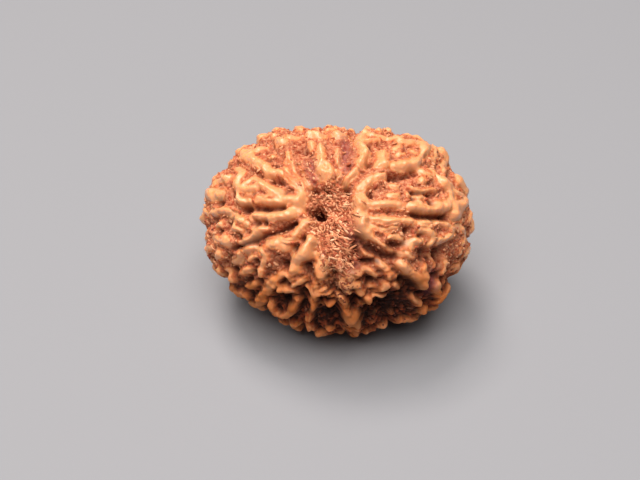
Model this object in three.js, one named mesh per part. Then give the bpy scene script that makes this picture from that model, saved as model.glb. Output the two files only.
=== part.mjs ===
// Rudraksha seed.
// The stone of a rudraksha fruit, cleaned of its pulp: one hard woody body. It is oval round its axis,
// parted by clefts that run from end to end, and covered between them by crooked ridges and warts.
// Millimetres, +Z up. The seed lies as it came to rest, with its open end up and to the front (-Y), on a
// small flat spot under its weight. The origin is on the surface it lies on, under the middle of its box.

import * as THREE from 'three';
import { mergeVertices } from 'three/addons/utils/BufferGeometryUtils.js';

// Size over the ridge tops, mm
const GIRTH_RADII = [
  12.9, 12.8, 12.5, 11.0, 10.1, 10.2, 11.4, 12.1, 12.9,
  12.6, 11.9, 10.5, 10.0, 9.9, 10.0, 10.3, 11.8, 12.1,
]; // one every 20 degrees round the axis, from the seed's right side and over its top
const HALF_LENGTH = 9.9; // from the middle to either end, along the axis

// The ends, mm and degrees: each is sunk and filled with matted fibre
const END_SINK = 1.5;
const END_SINK_SPREAD = 12;
const CORE_EDGE = 6; // the ridges begin to rise this far from the axis, degrees
const CORE_BLEND = 5; // and stand at full height this much farther out
const MATTED_SWELL = 0.12;

// Relief, mm
const RIDGE_HEIGHT = 0.9;
const LOBE_SWELL = 0.12; // how far each lobe bulges between its two clefts
const CLEFT_DEPTH = 0.3;
const CLEFT_HALF_WIDTH = 0.36;
const HOLLOW_DEPTH = 0.5;
const CANAL_RADIUS = 0.5;
const CANAL_DEPTH = 1.3;

// Pose: where the axis points, degrees
const AXIS_RISE = 55.5; // above the level
const AXIS_YAW = 6; // from -Y towards -X

// Rest: the flat spot, mm
const FOOT_RADIUS = 2.3;
const FOOT_FILL = 0.55; // height of the spot over the skin
const FOOT_STEP = 0.2; // how much lower the ridges beside it are worn
const FOOT_WEAR_SLOPE = 0.1; // and how fast they regain their height from there, mm a mm
const FOOT_CUT = 0.3;

// How finely the surface is faceted: each side of an icosahedron is split this many times more than once
const FACET_SPLITS = 23;
const CREST_STEP = 0.45; // a facet corner is drawn to the ridges' crests every so far, mm
const CREST_PULL = 0.36; // from no farther than this, mm
const FACET_FULLNESS = 0.3; // twice a facet's least area as a share of its longest side squared
const EDGE_ROUNDS = 4; // how often the facets' edges are gone through to be turned

// Clefts between the lobes, degrees: angle round the axis near the open end, angle at the seed's waist,
// and how deep the cleft is beside the deepest
const CLEFTS = [
  [28, 28, 0.3], [50, 56, 0.6], [76, 76, 0.9], [113, 113, 0.5], [132, 132, 0.7], [155, 150, 0.7],
  [179, 179, 0.6], [205, 205, 1.0], [228, 228, 0.7], [251, 251, 0.7], [272, 272, 0.6], [300, 298, 0.8],
  [316, 318, 0.8], [338, 338, 0.3], [352, 358, 0.4],
];
const CLEFT_BEND_FROM = 15;
const CLEFT_BEND_TO = 60;

// The relief on the open end and round it is laid as it looks from EYE_DISTANCE mm away, EYE_RISE degrees
// up at the front. Its places are mm to the right of the seed's middle and mm above it, seen from there.
const EYE_DISTANCE = 97.6;
const EYE_RISE = 42;

// Each row is half a ridge's width in mm and the places its course runs through. One place is a wart.
const LEFT_FAN = [
  [0.5, [[-4.6, 1.6], [-4, 2], [-3.5, 2.5], [-3.25, 3.1], [-3.3, 3.6]]],
  [0.42, [[-7.3, 4.8], [-6.6, 4.4], [-5.9, 4], [-5.2, 3.6], [-4.5, 3.25], [-3.5, 3.1]]],
  [0.38, [[-7.5, 3.25], [-6.9, 3.05], [-5.8, 2.9], [-5, 2.95], [-4, 2.85]]],
  [0.3, [[-6.7, 3.5], [-6.1, 3.6], [-5.4, 3.35]]],
  [0.52, [[-8, 1.7], [-7.2, 1.7], [-6.3, 1.6], [-5.2, 1.6], [-4.4, 1.7]]],
  [0.4, [[-2.8, 1.1], [-3.3, 0.6], [-3.7, 0.1], [-4.1, -0.2]]],
  [0.28, [[-3, 2], [-2.6, 1.5], [-2.35, 0.95]]],
  [0.5, [[-8.9, 7.4], [-8.3, 7.1], [-7.6, 6.65], [-6.9, 6.3], [-6.6, 5.85], [-6.1, 5.6]]],
  [0.34, [[-6.1, 5.55], [-5.65, 5.78], [-5.25, 5.45]]],
  [0.42, [[-5.25, 5.45], [-4.8, 5], [-4.35, 4.7], [-3.9, 4.2], [-3.4, 3.6]]],
  [0.3, [[-5.1, 6.1], [-4.6, 5.6], [-4.3, 5.1], [-4, 4.8]]],
];
const LEFT_SIDE = [
  [0.45, [[-8.85, 7.65], [-7.9, 7.8], [-7.1, 8.2]]],
  [0.4, [[-7.1, 8.2]]],
  [0.35, [[-6.3, 7.45]]],
  [0.42, [[-9.65, 6.3], [-9.2, 5.85], [-9.45, 5.2], [-9.75, 4.8], [-9.4, 4.35], [-8.6, 4.15], [-7.9, 4.2],
    [-7.4, 4.55]]],
  [0.34, [[-8.8, 4.7], [-8.45, 5.1], [-8, 5.35], [-7.55, 5.1], [-7.5, 4.7]]],
  [0.45, [[-9.6, 4], [-9.45, 3.6], [-9.2, 3.1], [-8.4, 2.95]]],
  [0.42, [[-11.6, 4.7], [-10.9, 5], [-10.3, 5.3]]],
  [0.6, [[-12.3, 3.7], [-11.7, 3.65], [-11, 3.6]]],
  [0.42, [[-11.9, 1.9], [-11, 2.05], [-10.2, 1.85], [-9.6, 1.5], [-9.2, 1.2]]],
  [0.36, [[-8.7, 0.8]]],
  [0.34, [[-9.8, 0.75]]],
  [0.3, [[-8.1, 1.3]]],
];
const LOWER_LEFT = [
  [0.32, [[-7.8, 0.3], [-6.9, 0.4]]],
  [0.32, [[-10, 0.3], [-9.2, 0.2]]],
  [0.38, [[-11.7, 0.6], [-11.2, 0.7]]],
  [0.42, [[-11.7, -0.6], [-11, -0.9], [-10.4, -1.1]]],
  [0.3, [[-10.9, -0.25], [-10.4, -0.7]]],
  [0.4, [[-9.3, -1], [-8.7, -0.8], [-8.1, -0.5], [-7.6, -0.15]]],
  [0.34, [[-6.1, -0.6], [-5.3, -0.6], [-4.7, -0.7], [-3.9, -0.6]]],
  [0.45, [[-6.9, -1], [-6.2, -1.15], [-5.5, -1.3], [-4.9, -1.7]]],
  [0.28, [[-4.4, -1.8]]],
  [0.4, [[-8.9, -2], [-8.3, -1.7], [-7.7, -1.65], [-7.2, -1.85], [-6.9, -2.4], [-7.1, -3.1], [-7.25, -3.7],
    [-7.35, -4.2]]],
  [0.3, [[-8.6, -2.55], [-7.7, -2.45]]],
  [0.48, [[-9.4, -2.3], [-9.6, -2.85], [-10.1, -3.05]]],
  [0.45, [[-11.2, -2.1], [-11.4, -2.6]]],
  [0.4, [[-9.4, -4.25], [-9, -3.9], [-8.5, -3.6]]],
  [0.45, [[-10.6, -3.9], [-10.1, -4.6]]],
  [0.4, [[-8.3, -5.4], [-7.8, -5]]],
  [0.48, [[-6.1, -4.8], [-6.45, -5.25], [-6.8, -5.75], [-7.1, -6.3], [-7.45, -7]]],
  [0.36, [[-6, -4.7], [-5.6, -4.3], [-5.1, -4.05], [-4.6, -4.2], [-4.25, -4.55]]],
  [0.42, [[-5.4, -5.6], [-4.9, -5.65], [-4.2, -5.85]]],
  [0.36, [[-3.1, -4.6], [-3.55, -4.85], [-4, -5.2]]],
  [0.62, [[-2.4, -1], [-2.9, -1.7], [-3.5, -2.3], [-3.9, -2.9], [-4, -3.5]]],
  [0.35, [[-3.3, -2.6], [-2.8, -2.4], [-2.3, -2.2], [-1.8, -2.05]]],
  [0.42, [[-3.9, -6.7], [-4.5, -7.6]]],
  [0.45, [[-5, -8.3]]],
  [0.42, [[-5.7, -7.3]]],
];
const BOTTOM = [
  [0.6, [[-1.1, -2.8], [-1.4, -3.3], [-1.35, -3.9], [-1.4, -4.25]]],
  [0.32, [[-2, -4.6], [-1.5, -4.9]]],
  [0.28, [[-1.1, -5.4], [-1.6, -5.75]]],
  [0.32, [[-2.3, -6], [-1.5, -6.05], [-0.7, -6.1]]],
  [0.5, [[-2.1, -5], [-2.15, -5.8], [-2.15, -6.6], [-2.2, -7.4], [-2.4, -8.1], [-2.7, -8.6]]],
  [0.3, [[-1.45, -6.95], [-0.95, -6.86], [-0.3, -6.9]]],
  [0.25, [[-0.7, -6.55], [-0.05, -6.5]]],
  [0.4, [[0.2, -6.4], [0.7, -7], [1.1, -7.6]]],
  [0.8, [[1.5, -8.2], [1.7, -8.8], [1.6, -9.4]]],
  [0.32, [[0.4, -3.6], [0.5, -4.3], [0.6, -5], [0.9, -5.6], [1.2, -6]]],
  [0.35, [[1, -4.3], [1.35, -4.05], [1.9, -3.85], [2.25, -4.1]]],
  [0.4, [[1.5, -4.6]]],
  [0.3, [[1.4, -5.1], [2.1, -4.95]]],
  [0.34, [[2.2, -5.4], [2.6, -5.75], [2.4, -6.15]]],
  [0.34, [[2.6, -6.2], [3, -6.3], [3.1, -6.65]]],
  [0.3, [[2.35, -7.3], [2.8, -7.1], [3.3, -7]]],
  [0.24, [[-2.9, -5.5], [-2.5, -5.8]]],
  [0.22, [[-2.6, -4.6]]],
  [0.5, [[-0.9, -9.4], [-0.3, -9.5]]],
  [0.45, [[3.8, -8.9]]],
];
const LOWER_RIGHT = [
  [0.25, [[2.9, -2.1], [3.5, -2.5]]],
  [0.3, [[2.85, -3.7], [3.4, -4.05], [3.95, -4.3]]],
  [0.38, [[4.1, -3.05], [4.7, -3.4], [5.2, -3.8], [5.4, -4.4]]],
  [0.36, [[3.4, -5.5], [4.1, -5.65], [4.7, -5.35], [4.9, -5.1]]],
  [0.3, [[3.8, -6.2], [4.75, -6.35]]],
  [0.36, [[5.9, -5.1], [6.4, -5.5]]],
  [0.28, [[6.1, -4.4]]],
  [0.52, [[6.2, -3], [6.7, -3.5], [7.2, -4], [7.8, -4.4], [8.4, -4.9], [8.7, -5.4]]],
  [0.48, [[8.5, -3.7], [8.8, -4.2]]],
  [0.45, [[7.7, -6.6], [8.3, -7.2]]],
  [0.42, [[9.7, -5.2], [9.9, -6.2]]],
  [0.3, [[9.3, -2.2], [9.6, -2.7], [9.7, -3.2]]],
  [0.4, [[10.6, -3.1], [10.5, -3.8]]],
  [0.4, [[10.6, -4.7]]],
];
const RIGHT_HAND = [
  [0.66, [[2.5, 3.1], [2.25, 2.6], [2.25, 1.9], [2.35, 1.2], [2.5, 0.5], [2.8, 0]]],
  [0.42, [[2.1, 3.85], [2.6, 4.5], [3.2, 5], [3.9, 5.35], [4.7, 5.5]]],
  [0.42, [[2.4, 2.6], [3.2, 2.7], [4.2, 2.7], [5.4, 2.7], [6.4, 2.5]]],
  [0.36, [[2.5, 1.5], [3.5, 1.3], [4.5, 1.15], [5.5, 1.2], [6.5, 1.2], [7.5, 1.1]]],
  [0.27, [[2.5, 0.55], [3.3, 0.5], [4.1, 0.4], [5.1, 0.2]]],
  [0.25, [[5.3, 0.4], [5.8, 0.5]]],
  [0.27, [[2.6, -0.05], [3.4, -0.5], [4.2, -1.1], [5, -1.55], [5.7, -1.95]]],
  [0.32, [[5.2, -0.5], [5.9, -0.4], [6.4, -0.7]]],
];
const RIGHT_SIDE = [
  [0.42, [[6.9, -1.1], [7.5, -0.95], [8.2, -0.85]]],
  [0.34, [[7.3, -1.5]]],
  [0.32, [[6.3, -2.1], [7, -2.2], [7.4, -2.5]]],
  [0.34, [[8.1, 0.85], [9, 0.9], [10, 0.95], [10.8, 0.8], [11.2, 0.4]]],
  [0.36, [[8.2, 0.15], [8.8, 0.2], [9.25, -0.2], [9.3, -0.8], [9.1, -1.25]]],
  [0.4, [[10, -0.85], [10.6, -0.6], [11.1, -0.4]]],
  [0.36, [[11.6, 0.6], [12.1, 0.5], [12.45, 0.1], [12.45, -0.5], [12.2, -1.1]]],
  [0.55, [[10, 5.1], [10.7, 4.4], [11.1, 3.7], [11.1, 3], [10.6, 2.4], [9.7, 2.2], [8.8, 2.2], [8, 2.4],
    [7.2, 2.5]]],
  [0.36, [[10.5, 5.1], [11.05, 4.55], [11.5, 4], [11.95, 3.6]]],
  [0.45, [[10.2, 6.45], [10.65, 6.6]]],
  [0.35, [[10.5, 6.3], [10.5, 5.8]]],
  [0.3, [[9.2, 6.2], [9.55, 5.85], [9.65, 5.45]]],
  [0.42, [[8.1, 6.2], [8.6, 5.85], [9.1, 5.5]]],
  [0.36, [[8.3, 4.95]]],
  [0.3, [[7.4, 4.35], [7.9, 4], [8.4, 3.95], [9, 4.15], [9.5, 4.05]]],
  [0.28, [[7.6, 3.4], [8.1, 3.2], [8.6, 3.4]]],
  [0.32, [[6.85, 3.6]]],
  [0.28, [[5.3, 4.4], [5.9, 4.4]]],
  [0.28, [[5.2, 3.5], [6.1, 3.5]]],
  [0.4, [[12.5, 3.1]]],
  [0.4, [[11.7, 1.7]]],
  [0.4, [[12, -1.9]]],
];
const UPPER_RIGHT = [
  [0.55, [[2.5, 9.4], [2.35, 8.9], [2.5, 8.3], [2.8, 7.7], [2.6, 7.2], [2.45, 6.7]]],
  [0.42, [[2.5, 9.45], [3.8, 9.3], [5, 9.2], [5.8, 9]]],
  [0.3, [[2.9, 8.6], [3.4, 8.85], [4, 9]]],
  [0.5, [[6.3, 8.7], [7, 8.7], [7.8, 8.6], [8.4, 8.4], [8.5, 7.8], [8.3, 7.2], [7.6, 6.75], [6.9, 6.45],
    [6.2, 6.4], [5.6, 6.4]]],
  [0.42, [[4.5, 7.9], [4.5, 7.3], [4.3, 6.9], [4, 6.6]]],
  [0.36, [[4.3, 6.9], [4.8, 6.5]]],
  [0.3, [[5.6, 8], [6.1, 8.3]]],
  [0.28, [[6, 7.4], [6.6, 7.6]]],
  [0.4, [[7.5, 7.8]]],
  [0.4, [[8.9, 8.1], [9.4, 8], [9.6, 7.5], [9.4, 7]]],
  [0.32, [[2, 5.95], [1.5, 5.35], [0.95, 4.75]]],
];
const TOP = [
  [0.62, [[-2.3, 9.3], [-1.6, 9.25]]],
  [0.6, [[0.1, 9.3], [0.5, 9.2]]],
  [0.36, [[1.3, 9.35]]],
  [0.3, [[-1.5, 8.4], [-1.5, 7.8]]],
  [0.26, [[-2.35, 8.6], [-2.35, 8.3]]],
  [0.36, [[0.1, 7.9], [0.35, 7.6], [0.4, 7]]],
  [0.3, [[0.1, 5.95], [0.1, 5.6]]],
  [0.4, [[-1.6, 6.7], [-1.5, 6], [-1.5, 5.3]]],
  [0.32, [[-0.8, 6.6], [-0.6, 6], [-0.5, 5.2]]],
  [0.5, [[-1, 5.5]]],
  [0.3, [[-3.3, 6.6], [-3.1, 6], [-2.9, 5.4], [-2.6, 4.9], [-2.45, 4.4]]],
  [0.28, [[-4, 6.2], [-3.7, 5.5], [-3.35, 4.8], [-3.1, 4.1], [-3, 3.6]]],
  [0.42, [[-4.4, 9.2], [-3.8, 9.3]]],
  [0.5, [[-5.6, 8.9], [-5.2, 8.6]]],
  [0.4, [[-6, 9.3]]],
  [0.4, [[-4.7, 7.7], [-4.7, 7.2]]],
  [0.3, [[-4.7, 7.3], [-4.35, 6.6], [-3.9, 6.4]]],
];
const SEEN_RIDGES = [
  ...LEFT_FAN, ...LEFT_SIDE, ...LOWER_LEFT, ...BOTTOM, ...LOWER_RIGHT, ...RIGHT_HAND, ...RIGHT_SIDE,
  ...UPPER_RIGHT, ...TOP,
];

// Pits and grooves between the ridges, in the same way: half the width in mm and the places
const SEEN_HOLLOWS = [
  [0.22, [[-10.2, -1.6], [-9.2, -1.3], [-8.2, -0.9], [-7.5, -0.5], [-6.4, -0.15], [-5.7, 0.13], [-4.1, 0.8]]],
  [0.35, [[-9.1, 2.35], [-8.5, 2.35]]],
  [0.25, [[-7.9, 2.35], [-6.6, 2.35], [-5.3, 2.35]]],
  [0.3, [[-4, 8.15], [-3.2, 8.15]]],
  [0.3, [[5.5, 5.3], [6.4, 5.5], [7.3, 5.7]]],
  [0.25, [[7.4, 3.7], [8.6, 3.8]]],
  [0.25, [[7.6, 1.75], [8.7, 1.5], [10, 1.45], [10.8, 1.4]]],
  [0.22, [[3.6, 1.75], [6.2, 1.75]]],
  [0.25, [[5.2, -1.15], [6.7, -1.15]]],
  [0.25, [[2.8, -3], [4, -3]]],
  [0.3, [[-2.2, 3.5], [-1.9, 3.9], [-0.9, 4.1], [0.3, 4.5], [1.2, 4]]],
  [0.9, [[-0.5, 0.4], [0, -1], [0.6, -2.2], [1.4, -3.2]]],
  [0.45, [[-10.5, 0.9]]], [0.35, [[-11.9, 1.1]]], [0.3, [[-10.05, 1.4]]], [0.3, [[-7.7, 0.65]]],
  [0.3, [[-7, 0.95]]], [0.4, [[-11.2, 2.75]]], [0.3, [[-9.95, 3.5]]], [0.3, [[-7.4, 5.65]]],
  [0.25, [[-6.3, 5.15]]], [0.25, [[-5.7, 4.85]]], [0.25, [[-5, 3.9]]], [0.3, [[-6.65, 7]]],
  [0.3, [[-5.9, 6.5]]], [0.25, [[-2.6, 7.85]]],
  [0.35, [[3.35, 3.7]]], [0.3, [[3.3, 6.65]]],
  [0.35, [[3.5, 8.3]]], [0.25, [[7.5, 6.1]]], [0.25, [[7.8, 5.8]]], [0.3, [[8.7, 7.3]]],
  [0.3, [[9.15, 3.55]]], [0.3, [[9.2, 2.85]]], [0.25, [[7.45, 3.15]]], [0.3, [[6.9, 0.15]]],
  [0.3, [[8.2, -0.4]]], [0.3, [[8.6, -2]]], [0.5, [[10, -2]]], [0.35, [[10, -2.7]]],
  [0.3, [[8.6, -2.7]]], [0.3, [[9.2, -2.7]]], [0.35, [[9.9, -4.15]]], [0.5, [[4.2, -2.3]]],
  [0.35, [[5.9, -2.1]]], [0.35, [[3.4, -4.75]]], [0.35, [[6.5, -5]]], [0.4, [[7.5, -5.8]]],
  [0.4, [[8.7, -6.1]]], [0.4, [[5.6, -6.3]]], [0.4, [[2.6, -7.8]]], [0.3, [[1.7, -5.55]]],
  [0.35, [[1.6, -6.45]]], [0.3, [[0.3, -5.8]]], [0.3, [[-0.1, -4.1]]], [0.3, [[-0.8, -4.4]]],
  [0.25, [[-1.2, -6.45]]], [0.6, [[-0.6, -7.9]]], [0.35, [[-2.7, -3.55]]], [0.3, [[-2.9, -6.3]]],
  [0.35, [[-2.9, -7.3]]], [0.4, [[-4.7, -6.8]]], [0.55, [[-5.3, -6.6]]], [0.5, [[-5.3, -3.2]]],
  [0.3, [[-7.8, -2.9]]], [0.35, [[-8, -3.9]]], [0.35, [[-8.3, -4.9]]], [0.35, [[-7.5, -4.75]]],
  [0.35, [[-10.5, -2.6]]], [0.35, [[-10.3, -3.7]]], [0.3, [[-9.5, -0.5]]], [0.3, [[-11.4, 0.1]]],
  [0.3, [[-3.2, -0.7]]], [0.3, [[-4.1, -1.75]]], [0.3, [[2.1, -1.6]]], [0.25, [[2, -2.4]]],
];

// The mouths of the blind canal: one is seen, the other's place is angle round the axis and angle from it
const SEEN_CANAL = [-1.6, 1.42];
const FAR_CANAL = [40, 178];

// Ridges that grow by rule where none is laid above, on the sides and the far end. Lengths in mm.
const RIDGE_SPOTS = 1700; // places on a spiral round the seed where a ridge may begin
const SEEN_EDGE = 74; // degrees from the open end: up to here new ridges only fill wide gaps
const SEEN_GAP = 1.35;
const SEEN_HALF_WIDTH = 0.24;
const HIDDEN_GAP = 1.35;
const HIDDEN_HALF_WIDTH = 0.38;
const HALF_WIDTH_SPREAD = 0.18;
const BARE_EDGE = 20; // no new ridge begins nearer to the open end than this, degrees
const FAR_BARE_EDGE = 14;
const RIDGE_STEP = 0.6;
const MOST_STEPS = 9;
const TURN_PER_STEP = 40; // degrees
const STRAY_NEAR_END = 15; // how far a ridge's heading strays from the axis, degrees
const STRAY_AT_WAIST = 80;
const CLEFT_CLEARANCE = 0.4;

const radians = THREE.MathUtils.degToRad;
const degrees = THREE.MathUtils.radToDeg;
const smoothstep = THREE.MathUtils.smoothstep;
const lerp = THREE.MathUtils.lerp;

// Random numbers from 0 to 1, the same for the same seed.
function seededRandom(seed) {
  let state = seed >>> 0;
  return () => {
    state = (state + 0x6d2b79f5) >>> 0;
    let mixed = Math.imul(state ^ (state >>> 15), state | 1);
    mixed = (mixed + Math.imul(mixed ^ (mixed >>> 7), mixed | 61)) ^ mixed;
    return ((mixed ^ (mixed >>> 14)) >>> 0) / 4294967296;
  };
}

// A smooth uneven field from -1 to 1, whose swellings are about SIZE apart.
function unevenness(point, size) {
  const k = (2 * Math.PI) / size;
  const first = Math.sin(k * (point.x + 0.6 * point.y) + 1.3);
  const second = Math.sin(k * (point.y + 0.6 * point.z) + 4.1);
  const third = Math.sin(k * (point.z + 0.6 * point.x) + 2.2);
  return (first + second + third) / 3;
}

// The seed's own axes have z along its axis, out of the open end. A direction is given by the angle round
// the axis and the angle from it, in degrees.
function direction(round, off) {
  const across = Math.sin(radians(off));
  const height = Math.cos(radians(off));
  return new THREE.Vector3(across * Math.cos(radians(round)), across * Math.sin(radians(round)), height);
}

function angleRound(dir) {
  return (degrees(Math.atan2(dir.y, dir.x)) + 360) % 360;
}

function angleOff(dir) {
  return degrees(Math.acos(THREE.MathUtils.clamp(dir.z, -1, 1)));
}

function angleFromEnd(dir) {
  return Math.min(angleOff(dir), 180 - angleOff(dir));
}

// The radius over the ridge tops at an angle round the axis: a smooth closed curve through GIRTH_RADII.
function girth(round) {
  const count = GIRTH_RADII.length;
  const place = (round / 360) * count;
  const whole = Math.floor(place);
  const t = place - whole;
  const [a, b, c, d] = [-1, 0, 1, 2].map((i) => GIRTH_RADII[(whole + i + count) % count]);
  return b + 0.5 * t * (c - a + t * (2 * a - 5 * b + 4 * c - d + t * (3 * (b - c) + d - a)));
}

// How far the seed reaches along its axis, with its ends sunk, in a direction.
function reach(dir) {
  return HALF_LENGTH - END_SINK * Math.exp(-((angleFromEnd(dir) / END_SINK_SPREAD) ** 2));
}

// The skin under the ridges, in the seed's own axes.
function skin(dir) {
  const radius = girth(angleRound(dir)) - RIDGE_HEIGHT;
  return new THREE.Vector3(radius * dir.x, radius * dir.y, (reach(dir) - RIDGE_HEIGHT) * dir.z);
}

function outward(dir) {
  const radius = girth(angleRound(dir));
  return new THREE.Vector3(dir.x / radius, dir.y / radius, dir.z / HALF_LENGTH).normalize();
}

// The seed's axes as it lies: z out of the open end, x as near to +X as that leaves.
function lyingPose() {
  const yaw = radians(AXIS_YAW);
  const axis = new THREE.Vector3(-Math.sin(yaw), -Math.cos(yaw), Math.tan(radians(AXIS_RISE))).normalize();
  const side = new THREE.Vector3(1, 0, 0).addScaledVector(axis, -axis.x).normalize();
  return new THREE.Matrix4().makeBasis(side, new THREE.Vector3().crossVectors(axis, side), axis);
}
const POSE = lyingPose();
const UNPOSE = POSE.clone().transpose();

// A point as a share of the way to the surface that lies this deep under the ridge tops. Its length is
// below 1 inside that surface.
function shareOfWay(point, depth) {
  const radius = girth(angleRound(point)) - depth;
  const share = new THREE.Vector3(point.x / radius, point.y / radius, point.z / (HALF_LENGTH - depth));
  share.z = point.z / (reach(share.clone().normalize()) - depth);
  return share;
}

// The direction from the seed's middle to what is seen at (x, y). The sight line is followed inwards until
// it meets the seed. If it passes the seed by, the nearest place is taken.
const SIGHT_STEPS = 400;
function seenDirection([x, y]) {
  const rise = radians(EYE_RISE);
  const eye = new THREE.Vector3(0, -Math.cos(rise), Math.sin(rise)).multiplyScalar(EYE_DISTANCE);
  const target = new THREE.Vector3(x, y * Math.sin(rise), y * Math.cos(rise));
  eye.applyMatrix4(UNPOSE);
  target.applyMatrix4(UNPOSE);
  let best = shareOfWay(eye, 0);
  for (let i = 0; i <= SIGHT_STEPS && best.length() > 1; i++) {
    const share = shareOfWay(eye.clone().lerp(target, lerp(0.85, 1.02, i / SIGHT_STEPS)), 0);
    if (share.length() < best.length()) best = share;
  }
  return best.normalize();
}

// A cleft's angle round the axis at an angle from the axis. Past the waist it wanders a little.
function cleftAngle([near, waist], index, off) {
  const bent = lerp(near, waist, smoothstep(off, CLEFT_BEND_FROM, CLEFT_BEND_TO));
  const wander = 4 * Math.sin(radians(3 * off + 50 * index)) * smoothstep(off, 70, 120);
  return bent + wander;
}

// How far a place is from the nearest cleft in mm, how deep that cleft is, and where the place stands
// between the two clefts beside it, from 0 at a cleft to 1 in the lobe's middle.
function nearestCleft(dir) {
  const round = angleRound(dir);
  const off = angleOff(dir);
  const gaps = CLEFTS.map((cleft, i) => ({
    gap: ((cleftAngle(cleft, i, off) - round + 540) % 360) - 180,
    depth: cleft[2],
  }));
  const nearest = gaps.reduce((best, g) => (Math.abs(g.gap) < Math.abs(best.gap) ? g : best));
  const left = Math.min(...gaps.filter((g) => g.gap >= 0).map((g) => g.gap));
  const right = Math.min(...gaps.filter((g) => g.gap < 0).map((g) => -g.gap));
  const arc = radians(Math.abs(nearest.gap)) * girth(round) * Math.sin(radians(off));
  return { arc, depth: nearest.depth, middle: (4 * left * right) / (left + right) ** 2 };
}

// A ridge or hollow laid by hand: its course is bent smoothly through its places.
function laid([halfWidth, places]) {
  const points = places.map((place) => skin(seenDirection(place)));
  if (points.length === 1) return { halfWidth, points };
  const curve = new THREE.CatmullRomCurve3(points, false, 'catmullrom', 0.5);
  return { halfWidth, points: curve.getPoints(3 * (points.length - 1)) };
}

// Adds ridges grown by rule. Each begins on a spiral from end to end where no ridge is near, wanders away
// from the open end, and stops beside a cleft or close to another ridge.
function growRidges(seen) {
  const ridges = [...seen];
  const taken = ridges.flatMap((r) => r.points);
  for (let spot = 0; spot < RIDGE_SPOTS; spot++) {
    const random = seededRandom(spot + 1);
    const height = 1 - (2 * spot + 1) / RIDGE_SPOTS;
    const start = direction((spot * 137.508) % 360, degrees(Math.acos(height)));
    const off = angleOff(start);
    const isSeen = off < SEEN_EDGE;
    if (off < BARE_EDGE || off > 180 - FAR_BARE_EDGE) continue;
    if (nearestCleft(start).arc < CLEFT_CLEARANCE) continue;
    if (taken.some((point) => point.distanceTo(skin(start)) < (isSeen ? SEEN_GAP : HIDDEN_GAP))) continue;
    const points = wander(start, random, taken);
    const halfWidth = (isSeen ? SEEN_HALF_WIDTH : HIDDEN_HALF_WIDTH) + HALF_WIDTH_SPREAD * random();
    ridges.push({ halfWidth, points });
    taken.push(...points);
  }
  return ridges;
}

function wander(start, random, taken) {
  const stray = lerp(STRAY_NEAR_END, STRAY_AT_WAIST, smoothstep(angleFromEnd(start), 20, 60));
  let heading = (2 * random() - 1) * stray;
  const steps = Math.floor(random() * MOST_STEPS);
  const stopGap = 0.7 + 0.6 * random();
  const points = [skin(start)];
  let dir = start;
  for (let step = 0; step < steps; step++) {
    heading += (2 * random() - 1) * TURN_PER_STEP;
    const along = direction(angleRound(dir), angleOff(dir) + 90);
    const across = new THREE.Vector3().crossVectors(dir, along);
    const way = along.multiplyScalar(Math.cos(radians(heading)));
    way.addScaledVector(across, Math.sin(radians(heading)));
    const next = dir.clone().addScaledVector(way, RIDGE_STEP / HALF_LENGTH).normalize();
    const place = skin(next);
    if (nearestCleft(next).arc < CLEFT_CLEARANCE) break;
    if (taken.some((point) => point.distanceTo(place) < stopGap)) break;
    points.push(place);
    dir = next;
  }
  return points;
}

// The distance from a point to a course.
const segment = new THREE.Line3();
const closest = new THREE.Vector3();
function distanceToCourse(point, course) {
  let least = point.distanceTo(course[0]);
  for (let i = 1; i < course.length; i++) {
    segment.set(course[i - 1], course[i]);
    segment.closestPointToPoint(point, true, closest);
    least = Math.min(least, point.distanceTo(closest));
  }
  return least;
}

// How high the ridges stand at a point of the skin. A thin ridge stands lower than a stout one, a ridge
// swells and shrinks along its course, and where two meet they run together smoothly.
const LONGEST_COURSE = 9;
function ridgeHeight(point, ridges) {
  const widen = 1.08 + 0.14 * unevenness(point, 1.9);
  const raise = RIDGE_HEIGHT * (0.9 + 0.16 * unevenness(point, 2.3));
  let sum = 0;
  for (const { halfWidth, points } of ridges) {
    if (point.distanceTo(points[0]) > LONGEST_COURSE) continue;
    const stout = Math.min(0.35 + 1.35 * halfWidth, 1.25);
    const share = stout * Math.exp(-((distanceToCourse(point, points) / (halfWidth * widen)) ** 3));
    sum += share ** 6;
  }
  return raise * sum ** (1 / 6);
}

// How deep the hollows are at a point of the skin, from 0 to 1.
function hollowShare(point, hollows) {
  let most = 0;
  for (const { halfWidth, points } of hollows) {
    if (point.distanceTo(points[0]) > LONGEST_COURSE) continue;
    most = Math.max(most, Math.exp(-((distanceToCourse(point, points) / halfWidth) ** 2)));
  }
  return most;
}

function canalShare(point, canals) {
  const away = Math.min(...canals.map((canal) => point.distanceTo(canal)));
  return Math.exp(-((away / CANAL_RADIUS) ** 4));
}

// The height of the surface over the skin.
function relief(dir, point, { ridges, hollows, canals, foot }) {
  const fromEnd = angleFromEnd(dir);
  const open = smoothstep(fromEnd, CORE_EDGE, CORE_EDGE + CORE_BLEND);
  const { arc, depth, middle } = nearestCleft(dir);
  const groove = depth * smoothstep(fromEnd, 10, 24) * Math.exp(-((arc / CLEFT_HALF_WIDTH) ** 2));
  const ridge = ridgeHeight(point, ridges) * open * (1 - 0.4 * groove);
  const lobe = LOBE_SWELL * (middle - 1) * open;
  const matted = MATTED_SWELL * (1 - open) * unevenness(point, 1.4);
  const sunk = CLEFT_DEPTH * groove + HOLLOW_DEPTH * hollowShare(point, hollows);
  const rough = ridge + lobe + matted - sunk - CANAL_DEPTH * canalShare(point, canals);
  const pastFoot = dir.angleTo(foot) * HALF_LENGTH - FOOT_RADIUS;
  if (pastFoot < 0) return FOOT_FILL;
  return Math.min(rough, FOOT_FILL - FOOT_STEP + FOOT_WEAR_SLOPE * pastFoot);
}

function surface(dir, forms) {
  const point = skin(dir);
  return point.addScaledVector(outward(dir), relief(dir, point, forms));
}

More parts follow.
